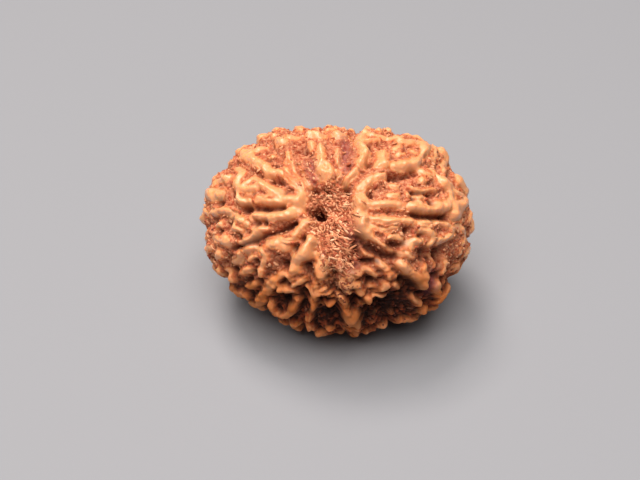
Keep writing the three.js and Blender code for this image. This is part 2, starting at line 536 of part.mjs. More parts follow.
// Draws the facets together towards the two ends, where the ridges are finest, and a little to the open end.
function crowdToEnds(dir) {
  const fromEnd = angleFromEnd(dir);
  const drawn = fromEnd * (1 - 0.33 * Math.exp(-((fromEnd / 28) ** 2)));
  const off = angleOff(dir) < 90 ? drawn : 180 - drawn;
  return direction(angleRound(dir), off - 8 * Math.sin(radians(off)));
}

// Whether a facet faces out and is not a sliver. Its corners are numbers into the list of directions.
function isSound(facet, dirs) {
  const [a, b, c] = facet.map((corner) => dirs[corner]);
  const sides = [a.distanceToSquared(b), b.distanceToSquared(c), c.distanceToSquared(a)];
  const normal = new THREE.Vector3().crossVectors(b.clone().sub(a), c.clone().sub(a));
  return normal.dot(a) > FACET_FULLNESS * Math.max(...sides);
}

// Moves facet corners onto the ridges' crests, where that leaves every facet round them sound.
function drawToCrests(dirs, facets, ridges) {
  const facetsRound = dirs.map(() => []);
  facets.forEach((facet) => facet.forEach((corner) => facetsRound[corner].push(facet)));
  const places = dirs.map(skin);
  const drawn = new Set();
  for (const { points } of ridges) {
    let last = null;
    for (const crest of points) {
      if (last && crest.distanceTo(last) < CREST_STEP) continue;
      let nearest = null;
      places.forEach((place, i) => {
        if (drawn.has(i) || place.distanceTo(crest) > CREST_PULL) return;
        if (nearest === null || place.distanceTo(crest) < places[nearest].distanceTo(crest)) nearest = i;
      });
      if (nearest === null) continue;
      const before = dirs[nearest];
      dirs[nearest] = shareOfWay(crest, RIDGE_HEIGHT).normalize();
      if (facetsRound[nearest].every((facet) => isSound(facet, dirs))) drawn.add(nearest);
      else dirs[nearest] = before;
      last = crest;
    }
  }
}

// Turns the edge between two facets to join their other two corners where that edge lies closer to the
// surface, so that edges run along ridges and valleys.
function turnEdges(dirs, facets, forms) {
  const corners = dirs.map((dir) => surface(dir, forms));
  const known = new Map();
  const miss = (a, b) => {
    const key = a < b ? `${a} ${b}` : `${b} ${a}`;
    if (!known.has(key)) {
      const halfway = corners[a].clone().lerp(corners[b], 0.5);
      known.set(key, halfway.distanceTo(surface(dirs[a].clone().add(dirs[b]).normalize(), forms)));
    }
    return known.get(key);
  };
  for (let round = 0; round < EDGE_ROUNDS; round++) {
    const sides = new Map();
    const touched = new Set();
    facets.forEach((facet, i) => {
      facet.forEach((corner, j) => sides.set(`${corner} ${facet[(j + 1) % 3]}`, [i, facet[(j + 2) % 3]]));
    });
    for (const [side, [here, far]] of sides) {
      const [a, b] = side.split(' ').map(Number);
      const [beyond, farther] = sides.get(`${b} ${a}`);
      if (a > b || touched.has(here) || touched.has(beyond)) continue;
      const turned = [[a, farther, far], [farther, b, far]];
      if (sides.has(`${far} ${farther}`) || !turned.every((facet) => isSound(facet, dirs))) continue;
      if (miss(far, farther) >= miss(a, b)) continue;
      [facets[here], facets[beyond]] = turned;
      touched.add(here).add(beyond);
    }
  }
  return corners;
}

function stoneGeometry() {
  const ball = new THREE.IcosahedronGeometry(1, FACET_SPLITS);
  ball.deleteAttribute('normal');
  ball.deleteAttribute('uv');
  const net = mergeVertices(ball, 1e-5);
  const dirs = [];
  for (let i = 0; i < net.attributes.position.count; i++) {
    dirs.push(crowdToEnds(new THREE.Vector3().fromBufferAttribute(net.attributes.position, i).normalize()));
  }
  const facets = [];
  for (let i = 0; i < net.index.count; i += 3) {
    facets.push([net.index.getX(i), net.index.getX(i + 1), net.index.getX(i + 2)]);
  }
  const forms = {
    ridges: growRidges(SEEN_RIDGES.map(laid)),
    hollows: SEEN_HOLLOWS.map(laid),
    canals: [skin(seenDirection(SEEN_CANAL)), skin(direction(...FAR_CANAL))],
    foot: new THREE.Vector3(0, 0, -1).applyMatrix4(UNPOSE),
  };
  drawToCrests(dirs, facets, forms.ridges);
  const corners = turnEdges(dirs, facets, forms);
  const geometry = new THREE.BufferGeometry().setFromPoints(corners);
  geometry.setIndex(facets.flat());
  geometry.applyMatrix4(POSE);
  layDown(geometry);
  return geometry;
}

// Cuts the flat spot and moves the seed so that it lies on z = 0 with its box centred on x = y = 0.
function layDown(geometry) {
  geometry.computeBoundingBox();
  const level = geometry.boundingBox.min.z + FOOT_CUT;
  const position = geometry.attributes.position;
  for (let i = 0; i < position.count; i++) {
    position.setZ(i, Math.max(position.getZ(i), level));
  }
  geometry.computeBoundingBox();
  const middle = geometry.boundingBox.getCenter(new THREE.Vector3());
  geometry.translate(-middle.x, -middle.y, -level);
  geometry.computeVertexNormals();
}

const wood = new THREE.MeshStandardMaterial({ color: '#b96f4a', roughness: 0.55, metalness: 0 });

const stone = new THREE.Mesh(stoneGeometry(), wood);
stone.name = 'stone';

const group = new THREE.Group();
group.add(stone);

export default group;
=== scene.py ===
# %% [markdown]
# # A rudraksha seed
# This lesson dresses the stone of a rudraksha fruit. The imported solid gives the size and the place.
# The seed is built again on top of it from the same relief, with facets fine enough for crumbs and
# fibres. Everything in the shape cells is in millimetres and is turned to metres at the end.

import bpy
import numpy as np
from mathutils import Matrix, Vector, noise


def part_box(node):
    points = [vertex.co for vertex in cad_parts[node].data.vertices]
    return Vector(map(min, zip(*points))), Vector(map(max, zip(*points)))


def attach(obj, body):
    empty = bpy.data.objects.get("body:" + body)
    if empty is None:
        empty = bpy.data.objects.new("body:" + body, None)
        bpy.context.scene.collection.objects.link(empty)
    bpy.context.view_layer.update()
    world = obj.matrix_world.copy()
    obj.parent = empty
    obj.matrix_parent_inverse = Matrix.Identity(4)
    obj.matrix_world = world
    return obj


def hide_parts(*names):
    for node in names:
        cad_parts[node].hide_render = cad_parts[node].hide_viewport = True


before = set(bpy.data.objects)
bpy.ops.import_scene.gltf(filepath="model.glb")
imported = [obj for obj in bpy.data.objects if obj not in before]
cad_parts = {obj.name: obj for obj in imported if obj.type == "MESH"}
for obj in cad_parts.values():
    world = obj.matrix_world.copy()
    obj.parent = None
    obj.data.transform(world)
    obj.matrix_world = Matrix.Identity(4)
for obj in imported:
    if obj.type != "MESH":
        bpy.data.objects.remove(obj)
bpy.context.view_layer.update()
MM = 0.001  # one millimetre, in metres
MM_PER_METRE = 1000
NOISE_SEED = 4
noise.seed_set(NOISE_SEED)  # without it the noise vectors differ from run to run
solid_low, solid_high = (MM_PER_METRE * np.array(corner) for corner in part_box("stone"))
print("solid box, mm:", solid_low.round(2), solid_high.round(2))

# %% [markdown]
# ## Directions
# Each place on the seed is named by its direction from the seed's middle. The seed's own axes have z
# along its axis, out of the open end. Two angles say the same, as on a globe: one round the axis and one
# away from it. These helpers take whole arrays of directions, which is much faster than a loop.

# %% Helpers for directions
def smoothstep(value, low, high):
    """From 0 at the low value to 1 at the high one, with soft ends."""
    share = np.clip((value - low) / (high - low), 0, 1)
    return share * share * (3 - 2 * share)


def angles(dirs):
    """Degrees round the axis, and degrees away from it."""
    around = np.degrees(np.arctan2(dirs[..., 1], dirs[..., 0])) % 360
    return around, np.degrees(np.arccos(np.clip(dirs[..., 2], -1, 1)))


def direction(around, off):
    around, off = np.radians(around), np.radians(off)
    return np.stack([np.sin(off) * np.cos(around), np.sin(off) * np.sin(around), np.cos(off)], -1)


def unit(vectors):
    return vectors / np.linalg.norm(vectors, axis=-1, keepdims=True)


print("90 degrees round and 45 off:", direction(90, 45).round(3))

# %% [markdown]
# ## The skin
# Under its ridges the seed is a lopsided oval with a sunken place at each end. It could be a sphere that
# is scaled and pulled by hand, but then nothing else would know where the surface is. A formula is
# better: each direction has one place on the skin.

# %% The radius round the axis and the reach along it
GIRTH_RADII = np.array([
    12.9, 12.8, 12.5, 11.0, 10.1, 10.2, 11.4, 12.1, 12.9,
    12.6, 11.9, 10.5, 10.0, 9.9, 10.0, 10.3, 11.8, 12.1,
])  # one every 20 degrees
HALF_LENGTH = 9.9  # from the middle to each end
END_SINK = 1.5  # how far each end is sunk
END_SINK_SPREAD = 12.0  # degrees from the axis over which the sinking fades
RIDGE_HEIGHT = 0.9  # how high a stout ridge stands over the skin


def between(before, here, there, after, t):
    """A smooth curve through four places, at the share t of the way from the second to the third."""
    return here + 0.5 * t * (there - before + t * (2 * before - 5 * here + 4 * there - after
                             + t * (3 * (here - there) + after - before)))


def girth(around):
    """The radius round the axis, over the ridge tops."""
    place = around / 360 * len(GIRTH_RADII)
    whole = np.floor(place).astype(int)
    a, b, c, d = (GIRTH_RADII[(whole + i) % len(GIRTH_RADII)] for i in (-1, 0, 1, 2))
    return between(a, b, c, d, place - whole)


def from_end(dirs):
    """Degrees from the nearer end."""
    off = angles(dirs)[1]
    return np.minimum(off, 180 - off)


def reach(dirs):
    return HALF_LENGTH - END_SINK * np.exp(-(from_end(dirs) / END_SINK_SPREAD) ** 2)


def skin(dirs):
    radius = girth(angles(dirs)[0]) - RIDGE_HEIGHT
    size = np.stack([radius, radius, reach(dirs) - RIDGE_HEIGHT], -1)
    return dirs * size


def outward(dirs):
    """The way out of the skin. The sunken ends are left out of it, so that nothing there leans over."""
    radius = girth(angles(dirs)[0])
    return unit(dirs / np.stack([radius, radius, np.full_like(radius, HALF_LENGTH)], -1))


print("radius over the ridge tops, mm:", GIRTH_RADII.min(), "to", GIRTH_RADII.max())

# %% [markdown]
# ## How it lies
# The seed leans back with its open end up and to the front. One matrix turns the seed's own axes to the
# table's axes. Turning the finished points keeps every formula in the seed's simple axes.

# %% The lying pose
AXIS_RISE = 55.5  # degrees over the table
AXIS_YAW = 6.0  # degrees to the left of straight ahead
rise, yaw = np.radians([AXIS_RISE, AXIS_YAW])
axis = unit(np.array([-np.sin(yaw), -np.cos(yaw), np.tan(rise)]))
side = unit(np.array([1.0, 0, 0]) - axis[0] * axis)
POSE = np.stack([side, np.cross(axis, side), axis])  # a row for each of the seed's axes
print("the open end points to:", axis.round(2))

# %% [markdown]
# ## Places seen from the front
# The ridges on the open end are laid as they look from the front: millimetres to the right of the
# seed's middle and above it. Each sight line is followed inwards until it meets the surface over the
# ridge tops. Those that pass the seed by take the nearest place.

# %% From a seen place to a direction
EYE_DISTANCE = 97.6
EYE_RISE = 42.0  # degrees over the table
SIGHT_SPAN = (0.85, 1.02, 401)  # the part of a sight line that is searched, and in how many places
TO_EYE = np.array([0, -np.cos(np.radians(EYE_RISE)), np.sin(np.radians(EYE_RISE))])
PICTURE_UP = np.array([0, TO_EYE[2], -TO_EYE[1]])


def share_of_way(points):
    """Each point scaled so that its length is 1 on the surface over the ridge tops."""
    radius = girth(np.degrees(np.arctan2(points[..., 1], points[..., 0])) % 360)
    share = points / np.stack([radius, radius, np.full_like(radius, HALF_LENGTH)], -1)
    share[..., 2] = points[..., 2] / reach(unit(share))
    return share


def seen_directions(places):
    places = np.asarray(places, float)
    target = places[:, :1] * np.array([1.0, 0, 0]) + places[:, 1:] * PICTURE_UP
    eye = EYE_DISTANCE * TO_EYE
    steps = np.linspace(*SIGHT_SPAN)[None, :, None]
    sight = (eye + (target[:, None] - eye) * steps) @ POSE.T
    share = share_of_way(sight)
    length = np.linalg.norm(share, axis=-1)
    inside = length <= 1
    first = np.where(inside.any(1), inside.argmax(1), length.argmin(1))
    return unit(share[np.arange(len(places)), first])


print("the direction seen in the middle:", seen_directions([[0, 0]])[0].round(2))

# %% [markdown]
# ## The ridges
# The relief is what makes a rudraksha: crooked ridges that run from the open end and branch, and warts
# between them. They could be sculpted, but laid lines are easier to move and to keep. Each row is half a
# ridge's width and the places its course runs through. A row with one place is a wart.

# %% Ridges on the left
LEFT_FAN = [
    [0.5, [[-4.6, 1.6], [-4, 2], [-3.5, 2.5], [-3.25, 3.1], [-3.3, 3.6]]],
    [0.42, [[-7.3, 4.8], [-6.6, 4.4], [-5.9, 4], [-5.2, 3.6], [-4.5, 3.25], [-3.5, 3.1]]],
    [0.38, [[-7.5, 3.25], [-6.9, 3.05], [-5.8, 2.9], [-5, 2.95], [-4, 2.85]]],
    [0.3, [[-6.7, 3.5], [-6.1, 3.6], [-5.4, 3.35]]],
    [0.52, [[-8, 1.7], [-7.2, 1.7], [-6.3, 1.6], [-5.2, 1.6], [-4.4, 1.7]]],
    [0.4, [[-2.8, 1.1], [-3.3, 0.6], [-3.7, 0.1], [-4.1, -0.2]]],
    [0.28, [[-3, 2], [-2.6, 1.5], [-2.35, 0.95]]],
    [0.5, [[-8.9, 7.4], [-8.3, 7.1], [-7.6, 6.65], [-6.9, 6.3], [-6.6, 5.85], [-6.1, 5.6]]],
    [0.34, [[-6.1, 5.55], [-5.65, 5.78], [-5.25, 5.45]]],
    [0.26, [[-5.4, 5.8], [-4.9, 5.3], [-4.5, 4.85], [-4, 4.4], [-3.5, 3.8]]],
    [0.24, [[-4.95, 6.3], [-4.6, 5.7], [-4.2, 5.15], [-3.75, 4.6], [-3.4, 4.1]]],
]
LEFT_SIDE = [
    [0.45, [[-8.85, 7.65], [-7.9, 7.8], [-7.1, 8.2]]],
    [0.4, [[-7.1, 8.2]]],
    [0.35, [[-6.3, 7.45]]],
    [0.42, [[-9.65, 6.3], [-9.2, 5.85], [-9.45, 5.2], [-9.75, 4.8], [-9.4, 4.35], [-8.6, 4.15], [-7.9, 4.2],
            [-7.4, 4.55]]],
    [0.34, [[-8.8, 4.7], [-8.45, 5.1], [-8, 5.35], [-7.55, 5.1], [-7.5, 4.7]]],
    [0.45, [[-9.6, 4], [-9.45, 3.6], [-9.2, 3.1], [-8.4, 2.95]]],
    [0.42, [[-11.6, 4.7], [-10.9, 5], [-10.3, 5.3]]],
    [0.6, [[-12.3, 3.7], [-11.7, 3.65], [-11, 3.6]]],
    [0.42, [[-11.9, 1.9], [-11, 2.05], [-10.2, 1.85], [-9.6, 1.5], [-9.2, 1.2]]],
    [0.36, [[-8.7, 0.8]]],
    [0.34, [[-9.8, 0.75]]],
    [0.3, [[-8.1, 1.3]]],
]
LOWER_LEFT = [
    [0.32, [[-7.8, 0.3], [-6.9, 0.4]]],
    [0.32, [[-10, 0.3], [-9.2, 0.2]]],
    [0.38, [[-11.7, 0.6], [-11.2, 0.7]]],
    [0.42, [[-11.7, -0.6], [-11, -0.9], [-10.4, -1.1]]],
    [0.3, [[-10.9, -0.25], [-10.4, -0.7]]],
    [0.4, [[-9.3, -1], [-8.7, -0.8], [-8.1, -0.5], [-7.6, -0.15]]],
    [0.34, [[-6.1, -0.6], [-5.3, -0.6], [-4.7, -0.7], [-3.9, -0.6]]],
    [0.45, [[-6.9, -1], [-6.2, -1.15], [-5.5, -1.3], [-4.9, -1.7]]],
    [0.28, [[-4.4, -1.8]]],
    [0.4, [[-8.9, -2], [-8.3, -1.7], [-7.7, -1.65], [-7.2, -1.85], [-6.9, -2.4], [-7.1, -3.1], [-7.25, -3.7],
           [-7.35, -4.2]]],
    [0.3, [[-8.6, -2.55], [-7.7, -2.45]]],
    [0.48, [[-9.4, -2.3], [-9.6, -2.85], [-10.1, -3.05]]],
    [0.45, [[-11.2, -2.1], [-11.4, -2.6]]],
    [0.4, [[-9.4, -4.25], [-9, -3.9], [-8.5, -3.6]]],
    [0.45, [[-10.6, -3.9], [-10.1, -4.6]]],
    [0.4, [[-8.3, -5.4], [-7.8, -5]]],
    [0.48, [[-6.1, -4.8], [-6.45, -5.25], [-6.8, -5.75], [-7.1, -6.3], [-7.45, -7]]],
    [0.36, [[-6, -4.7], [-5.6, -4.3], [-5.1, -4.05], [-4.6, -4.2], [-4.25, -4.55]]],
    [0.42, [[-5.4, -5.6], [-4.9, -5.65], [-4.2, -5.85]]],
    [0.36, [[-3.1, -4.6], [-3.55, -4.85], [-4, -5.2]]],
    [0.62, [[-2.4, -1], [-2.9, -1.7], [-3.5, -2.3], [-3.9, -2.9], [-4, -3.5]]],
    [0.35, [[-3.3, -2.6], [-2.8, -2.4], [-2.3, -2.2], [-1.8, -2.05]]],
    [0.42, [[-6.3, -7], [-5.9, -7.7], [-5.2, -8.2], [-4.5, -7.9], [-4.2, -7.2], [-3.9, -6.7]]],
]
print("rows on the left:", len(LEFT_FAN + LEFT_SIDE + LOWER_LEFT))

# %% Ridges along the bottom
BOTTOM = [
    [0.72, [[-1.1, -2.8], [-1.35, -3.3], [-1.3, -3.9], [-1.35, -4.2]]],
    [0.32, [[-2, -4.6], [-1.5, -4.9]]],
    [0.28, [[-1.1, -5.4], [-1.6, -5.75]]],
    [0.32, [[-2.3, -6], [-1.5, -6.05], [-0.7, -6.1]]],
    [0.38, [[-2.1, -5], [-2.15, -5.8], [-2.15, -6.6], [-2.2, -7.4], [-2.4, -8.1], [-2.7, -8.6]]],
    [0.32, [[-1.45, -7.2], [-0.95, -7.15], [-0.3, -7.2]]],
    [0.25, [[-0.7, -6.55], [-0.05, -6.5]]],
    [0.4, [[0.2, -6.4], [0.7, -7], [1.1, -7.6]]],
    [0.8, [[1.5, -8.2], [1.7, -8.8], [1.6, -9.4]]],
    [0.36, [[0.4, -3.6], [0.5, -4.3], [0.6, -5], [0.9, -5.6], [1.2, -6]]],
    [0.42, [[1.1, -4.2], [1.6, -4], [2.2, -4.1]]],
    [0.4, [[1.5, -4.6]]],
    [0.42, [[1.5, -5.2], [2.2, -5]]],
    [0.42, [[2.4, -5.7], [2.5, -6]]],
    [0.42, [[3.1, -6.4], [3.2, -6.7]]],
    [0.3, [[2.35, -7.3], [2.8, -7.1], [3.3, -7]]],
    [0.24, [[-2.9, -5.5], [-2.5, -5.8]]],
    [0.22, [[-2.6, -4.6]]],
    [0.3, [[-0.9, -9.5], [-0.4, -9.6]]],
    [0.3, [[3.8, -9]]],
]
LOWER_RIGHT = [
    [0.25, [[2.9, -2.1], [3.5, -2.5]]],
    [0.3, [[2.85, -3.7], [3.4, -4.05], [3.95, -4.3]]],
    [0.38, [[4.1, -3.05], [4.7, -3.4], [5.2, -3.8], [5.4, -4.4]]],
    [0.36, [[3.4, -5.5], [4.1, -5.65], [4.7, -5.35], [4.9, -5.1]]],
    [0.3, [[3.8, -6.2], [4.75, -6.35]]],
    [0.36, [[5.9, -5.1], [6.4, -5.5]]],
    [0.28, [[6.1, -4.4]]],
    [0.46, [[6.2, -3], [6.7, -3.5], [7.2, -4], [7.8, -4.4], [8.4, -4.9], [8.7, -5.4]]],
    [0.48, [[8.5, -3.7], [8.8, -4.2]]],
    [0.38, [[7.7, -6.6], [8.2, -7.1]]],
    [0.42, [[9.7, -5.2], [9.9, -6.2]]],
    [0.3, [[9.3, -2.2], [9.6, -2.7], [9.7, -3.2]]],
    [0.4, [[10.6, -3.1], [10.5, -3.8]]],
    [0.4, [[10.6, -4.7]]],
]
print("rows along the bottom:", len(BOTTOM + LOWER_RIGHT))

# %% Ridges on the right
RIGHT_HAND = [
    [0.66, [[2.5, 3.1], [2.25, 2.6], [2.25, 1.9], [2.35, 1.2], [2.5, 0.5], [2.8, 0]]],
    [0.8, [[2.3, 2.7], [2.4, 1.8], [2.6, 1]]],
    [0.42, [[2.1, 3.85], [2.6, 4.5], [3.2, 5], [3.9, 5.35], [4.7, 5.5]]],
    [0.42, [[2.4, 2.6], [3.2, 2.7], [4.2, 2.7], [5.4, 2.7], [6.4, 2.5]]],
    [0.36, [[2.5, 1.5], [3.5, 1.3], [4.5, 1.15], [5.5, 1.2], [6.5, 1.2], [7.5, 1.1]]],
    [0.27, [[2.5, 0.55], [3.3, 0.5], [4.1, 0.4], [5.1, 0.2]]],
    [0.25, [[5.3, 0.4], [5.8, 0.5]]],
    [0.27, [[2.6, -0.05], [3.4, -0.5], [4.2, -1.1], [5, -1.55], [5.7, -1.95]]],
    [0.32, [[5.2, -0.5], [5.9, -0.4], [6.4, -0.7]]],
]
RIGHT_SIDE = [
    [0.42, [[6.9, -1.1], [7.5, -0.95], [8.2, -0.85]]],
    [0.34, [[7.3, -1.5]]],
    [0.32, [[6.3, -2.1], [7, -2.2], [7.4, -2.5]]],
    [0.34, [[8.1, 0.85], [9, 0.9], [10, 0.95], [10.8, 0.8], [11.2, 0.4]]],
    [0.36, [[8.2, 0.15], [8.8, 0.2], [9.25, -0.2], [9.3, -0.8], [9.1, -1.25]]],
    [0.4, [[10, -0.85], [10.6, -0.6], [11.1, -0.4]]],
    [0.36, [[11.6, 0.6], [12.1, 0.5], [12.45, 0.1], [12.45, -0.5], [12.2, -1.1]]],
    [0.55, [[10, 5.1], [10.7, 4.4], [11.1, 3.7], [11.1, 3], [10.6, 2.4], [9.7, 2.2], [8.8, 2.2], [8, 2.4],
            [7.2, 2.5]]],
    [0.48, [[10.5, 5.1], [11.05, 4.55], [11.5, 4], [11.95, 3.6]]],
    [0.45, [[10.2, 6.45], [10.65, 6.6]]],
    [0.35, [[10.5, 6.3], [10.5, 5.8]]],
    [0.3, [[9.2, 6.2], [9.55, 5.85], [9.65, 5.45]]],
    [0.42, [[8.1, 6.2], [8.6, 5.85], [9.1, 5.5]]],
    [0.36, [[8.3, 4.95]]],
    [0.3, [[7.4, 4.35], [7.9, 4], [8.4, 3.95], [9, 4.15], [9.5, 4.05]]],
    [0.28, [[7.6, 3.4], [8.1, 3.2], [8.6, 3.4]]],
    [0.32, [[6.85, 3.6]]],
    [0.28, [[5.3, 4.4], [5.9, 4.4]]],
    [0.28, [[5.2, 3.5], [6.1, 3.5]]],
    [0.6, [[12.4, 3], [12, 2.5], [11.3, 2.6]]],
    [0.55, [[11.9, 1.6], [11.4, 1.6]]],
    [0.4, [[12, -1.9]]],
]
print("rows on the right:", len(RIGHT_HAND + RIGHT_SIDE))

# %% Ridges along the top
UPPER_RIGHT = [
    [0.55, [[2.5, 9.4], [2.35, 8.9], [2.5, 8.3], [2.8, 7.7], [2.6, 7.2], [2.45, 6.7]]],
    [0.42, [[2.5, 9.45], [3.8, 9.3], [5, 9.2], [5.8, 9]]],
    [0.3, [[2.9, 8.6], [3.4, 8.85], [4, 9]]],
    [0.5, [[6.3, 8.7], [7, 8.7], [7.8, 8.6], [8.4, 8.4], [8.5, 7.8], [8.3, 7.2], [7.6, 6.75], [6.9, 6.45],
           [6.2, 6.4], [5.6, 6.4]]],
    [0.42, [[4.5, 7.9], [4.5, 7.3], [4.3, 6.9], [4, 6.6]]],
    [0.36, [[4.3, 6.9], [4.8, 6.5]]],
    [0.3, [[5.6, 8], [6.1, 8.3]]],
    [0.28, [[6, 7.4], [6.6, 7.6]]],
    [0.4, [[7.5, 7.8]]],
    [0.4, [[8.9, 8.1], [9.4, 8], [9.6, 7.5], [9.4, 7]]],
    [0.32, [[2, 5.95], [1.5, 5.35], [0.95, 4.75]]],
]
TOP = [
    [0.62, [[-2.3, 9.3], [-1.6, 9.25]]],
    [0.6, [[0.1, 9.3], [0.5, 9.2]]],
    [0.36, [[1.3, 9.35]]],
    [0.3, [[-1.5, 8.4], [-1.5, 7.8]]],
    [0.26, [[-2.35, 8.6], [-2.35, 8.3]]],
    [0.36, [[0.1, 7.9], [0.35, 7.6], [0.4, 7]]],
    [0.3, [[0.1, 5.95], [0.1, 5.6]]],
    [0.4, [[-1.6, 6.7], [-1.5, 6], [-1.5, 5.3]]],
    [0.32, [[-0.8, 6.6], [-0.6, 6], [-0.5, 5.2]]],
    [0.5, [[-1, 5.5]]],
    [0.22, [[-3.6, 6.7], [-3.4, 6], [-3.1, 5.4], [-2.85, 4.9], [-2.6, 4.4]]],
    [0.22, [[-4.2, 6.4], [-3.95, 5.8], [-3.65, 5.2], [-3.3, 4.6], [-3, 4]]],
    [0.42, [[-4.4, 9.2], [-3.8, 9.3]]],
    [0.5, [[-5.6, 8.9], [-5.2, 8.6]]],
    [0.4, [[-6, 9.3]]],
    [0.4, [[-4.7, 7.7], [-4.7, 7.2]]],
    [0.26, [[-4.6, 7.2], [-4.3, 6.6]]],
]
LOW_AT_TOP = [
    [0.5, [[-1.5, 6], [-1.2, 5.6], [-0.7, 5.35]]],
    [0.4, [[-1.6, 8.2], [-1.5, 7.6], [-1.5, 6.9]]],
    [0.3, [[-2.4, 8.7], [-2.4, 8.2]]],
    [0.4, [[0.25, 7.9], [0.4, 7.2], [0.5, 6.6]]],
    [0.4, [[0.1, 5.9]]],
    [0.5, [[4.5, 7.7], [4.45, 7.1], [4.7, 6.65]]],
    [0.36, [[2.85, 7.8]]],
]
SEEN_RIDGES = (LEFT_FAN + LEFT_SIDE + LOWER_LEFT + BOTTOM + LOWER_RIGHT + RIGHT_HAND + RIGHT_SIDE
               + UPPER_RIGHT + TOP + LOW_AT_TOP)
print("ridges laid by hand:", len(SEEN_RIDGES))

# %% [markdown]
# ## Hollows
# Between the ridges the pulp sat in pits and grooves that are now empty, and they are painted nearly black as
# shade. They are laid like the ridges. The blind canal's mouth, where a string would go, is the deepest of
# them, and there is another at the far end.

# %% Pits, grooves and the canal's mouth
SEEN_HOLLOWS = [
    [0.22, [[-10.2, -1.6], [-9.2, -1.3], [-8.2, -0.9], [-7.5, -0.5], [-6.4, -0.15], [-5.7, 0.13],
            [-4.1, 0.8]]],
    [0.35, [[-9.1, 2.35], [-8.5, 2.35]]],
    [0.25, [[-7.9, 2.35], [-6.6, 2.35], [-5.3, 2.35]]],
    [0.3, [[-4, 8.15], [-3.2, 8.15]]],
    [0.3, [[5.5, 5.3], [6.4, 5.5], [7.3, 5.7]]],
    [0.25, [[7.4, 3.7], [8.6, 3.8]]],
    [0.25, [[7.6, 1.75], [8.7, 1.5], [10, 1.45], [10.8, 1.4]]],
    [0.35, [[5.3, -1.4], [6.6, -1.15]]],
    [0.3, [[2.8, -3], [4, -3]]],
    [0.4, [[2.1, -0.6], [2.7, -1.3], [3.5, -1.9]]],
    [0.4, [[1.9, -1.2], [2.2, -2.2]]],
    [0.45, [[3.5, -1.8], [4.6, -2.3], [5.8, -2.3]]],
    [0.2, [[-2.2, 4], [-1.7, 3.85]]],
    [0.2, [[-1.1, 4.3], [-0.7, 4]]],
    [0.25, [[1, 4.4], [1.2, 3.9]]],
    [0.18, [[0.5, 4.9], [0.8, 4.75]]],
    [0.16, [[-2.9, 2.1], [-2.1, 1.6]]],
    [0.9, [[-0.5, 0.4], [0, -1], [0.6, -2.2], [1.4, -3.2]]],
]
SEEN_PITS = [  # half the width and the place
    [0.45, -10.5, 0.9], [0.35, -11.9, 1.1], [0.3, -10.05, 1.4], [0.3, -7.7, 0.65], [0.3, -7, 0.95],
    [0.4, -11.2, 2.75], [0.3, -9.95, 3.5], [0.3, -7.4, 5.65], [0.25, -6.3, 5.15], [0.25, -5.7, 4.85],
    [0.25, -5, 3.9], [0.3, -6.65, 7], [0.3, -5.9, 6.5], [0.25, -2.6, 7.85], [0.35, 3.35, 3.7],
    [0.3, 3.3, 6.65], [0.35, 3.5, 8.3], [0.25, 7.5, 6.1], [0.25, 7.8, 5.8], [0.3, 8.7, 7.3],
    [0.3, 9.15, 3.55], [0.3, 9.2, 2.85], [0.25, 7.45, 3.15], [0.3, 6.9, 0.15], [0.3, 8.2, -0.4],
    [0.45, 8.6, -2], [0.8, 10.1, -2], [0.5, 10.1, -2.6], [0.3, 8.6, -2.7], [0.4, 9.2, -2.6],
    [0.35, 9.9, -4.15], [0.5, 4.2, -2.3], [0.35, 5.9, -2.1], [0.35, 3.4, -4.75], [0.6, 6.6, -5.1],
    [1.0, 7.2, -5.7], [0.7, 8.7, -6.1], [1.0, 5.8, -6.7], [1.3, 3.2, -8.2], [0.3, 1.7, -5.55],
    [0.35, 1.6, -6.45], [0.3, 0.3, -5.8], [0.3, -0.1, -4.1], [0.3, -0.8, -4.4], [0.25, -1.2, -6.45],
    [1.2, -0.6, -8.3], [0.35, -2.7, -3.55], [0.3, -2.9, -6.3], [0.35, -2.9, -7.3], [1.3, 5, -7.6],
    [0.45, 1.9, -7.2],
    [0.9, -5.2, -6.8], [0.5, -5.3, -3.2], [0.3, -7.8, -2.9], [0.35, -8, -3.9], [0.35, -8.3, -4.9],
    [0.35, -7.5, -4.75], [0.35, -10.5, -2.6], [0.35, -10.3, -3.7], [0.3, -9.5, -0.5], [0.3, -11.4, 0.1],
    [0.3, -3.2, -0.7], [0.3, -4.1, -1.75], [0.3, 2.1, -1.6], [0.25, 2, -2.4],
]
SEEN_CANAL = [-1.8, 1.8]
FAR_CANAL = [40, 178]  # degrees round the axis and away from it
CANAL_RADIUS = 0.58
print("grooves and pits:", len(SEEN_HOLLOWS), len(SEEN_PITS))

# %% [markdown]
# ## From rows to courses
# A ridge that turns sharply at each place would look folded. A curve object could bend it smoothly, but
# the relief needs plain points. A spline formula gives them: three for each step from one place to the
# next.

# %% Bend the courses
COURSE_STEPS = (0, 1 / 3, 2 / 3)


def laid(row):
    """Half the width, and the course bent smoothly through the row's places."""
    half_width, places = row
    points = skin(seen_directions(places))
    if len(points) == 1:
        return half_width, points
    ends = np.vstack([2 * points[0] - points[1], points, 2 * points[-1] - points[-2]])
    course = [between(*four, t) for four in zip(ends, ends[1:], ends[2:], ends[3:]) for t in COURSE_STEPS]
    return half_width, np.array(course + [points[-1]])


ridges = [laid(row) for row in SEEN_RIDGES]
hollows = [laid(row) for row in SEEN_HOLLOWS] + [laid([half, [[x, y]]]) for half, x, y in SEEN_PITS]
canals = [laid([CANAL_RADIUS, [SEEN_CANAL]]), (CANAL_RADIUS, skin(direction(*FAR_CANAL)[None]))]
print("hollows:", len(hollows))

# %% [markdown]
# ## Clefts
# Thin clefts run from end to end and part the seed into lobes. Each is an angle round the axis near the
# open end, another at the waist, and how deep it is. A nearest-cleft formula gives the groove and also
# the slight swell of each lobe.

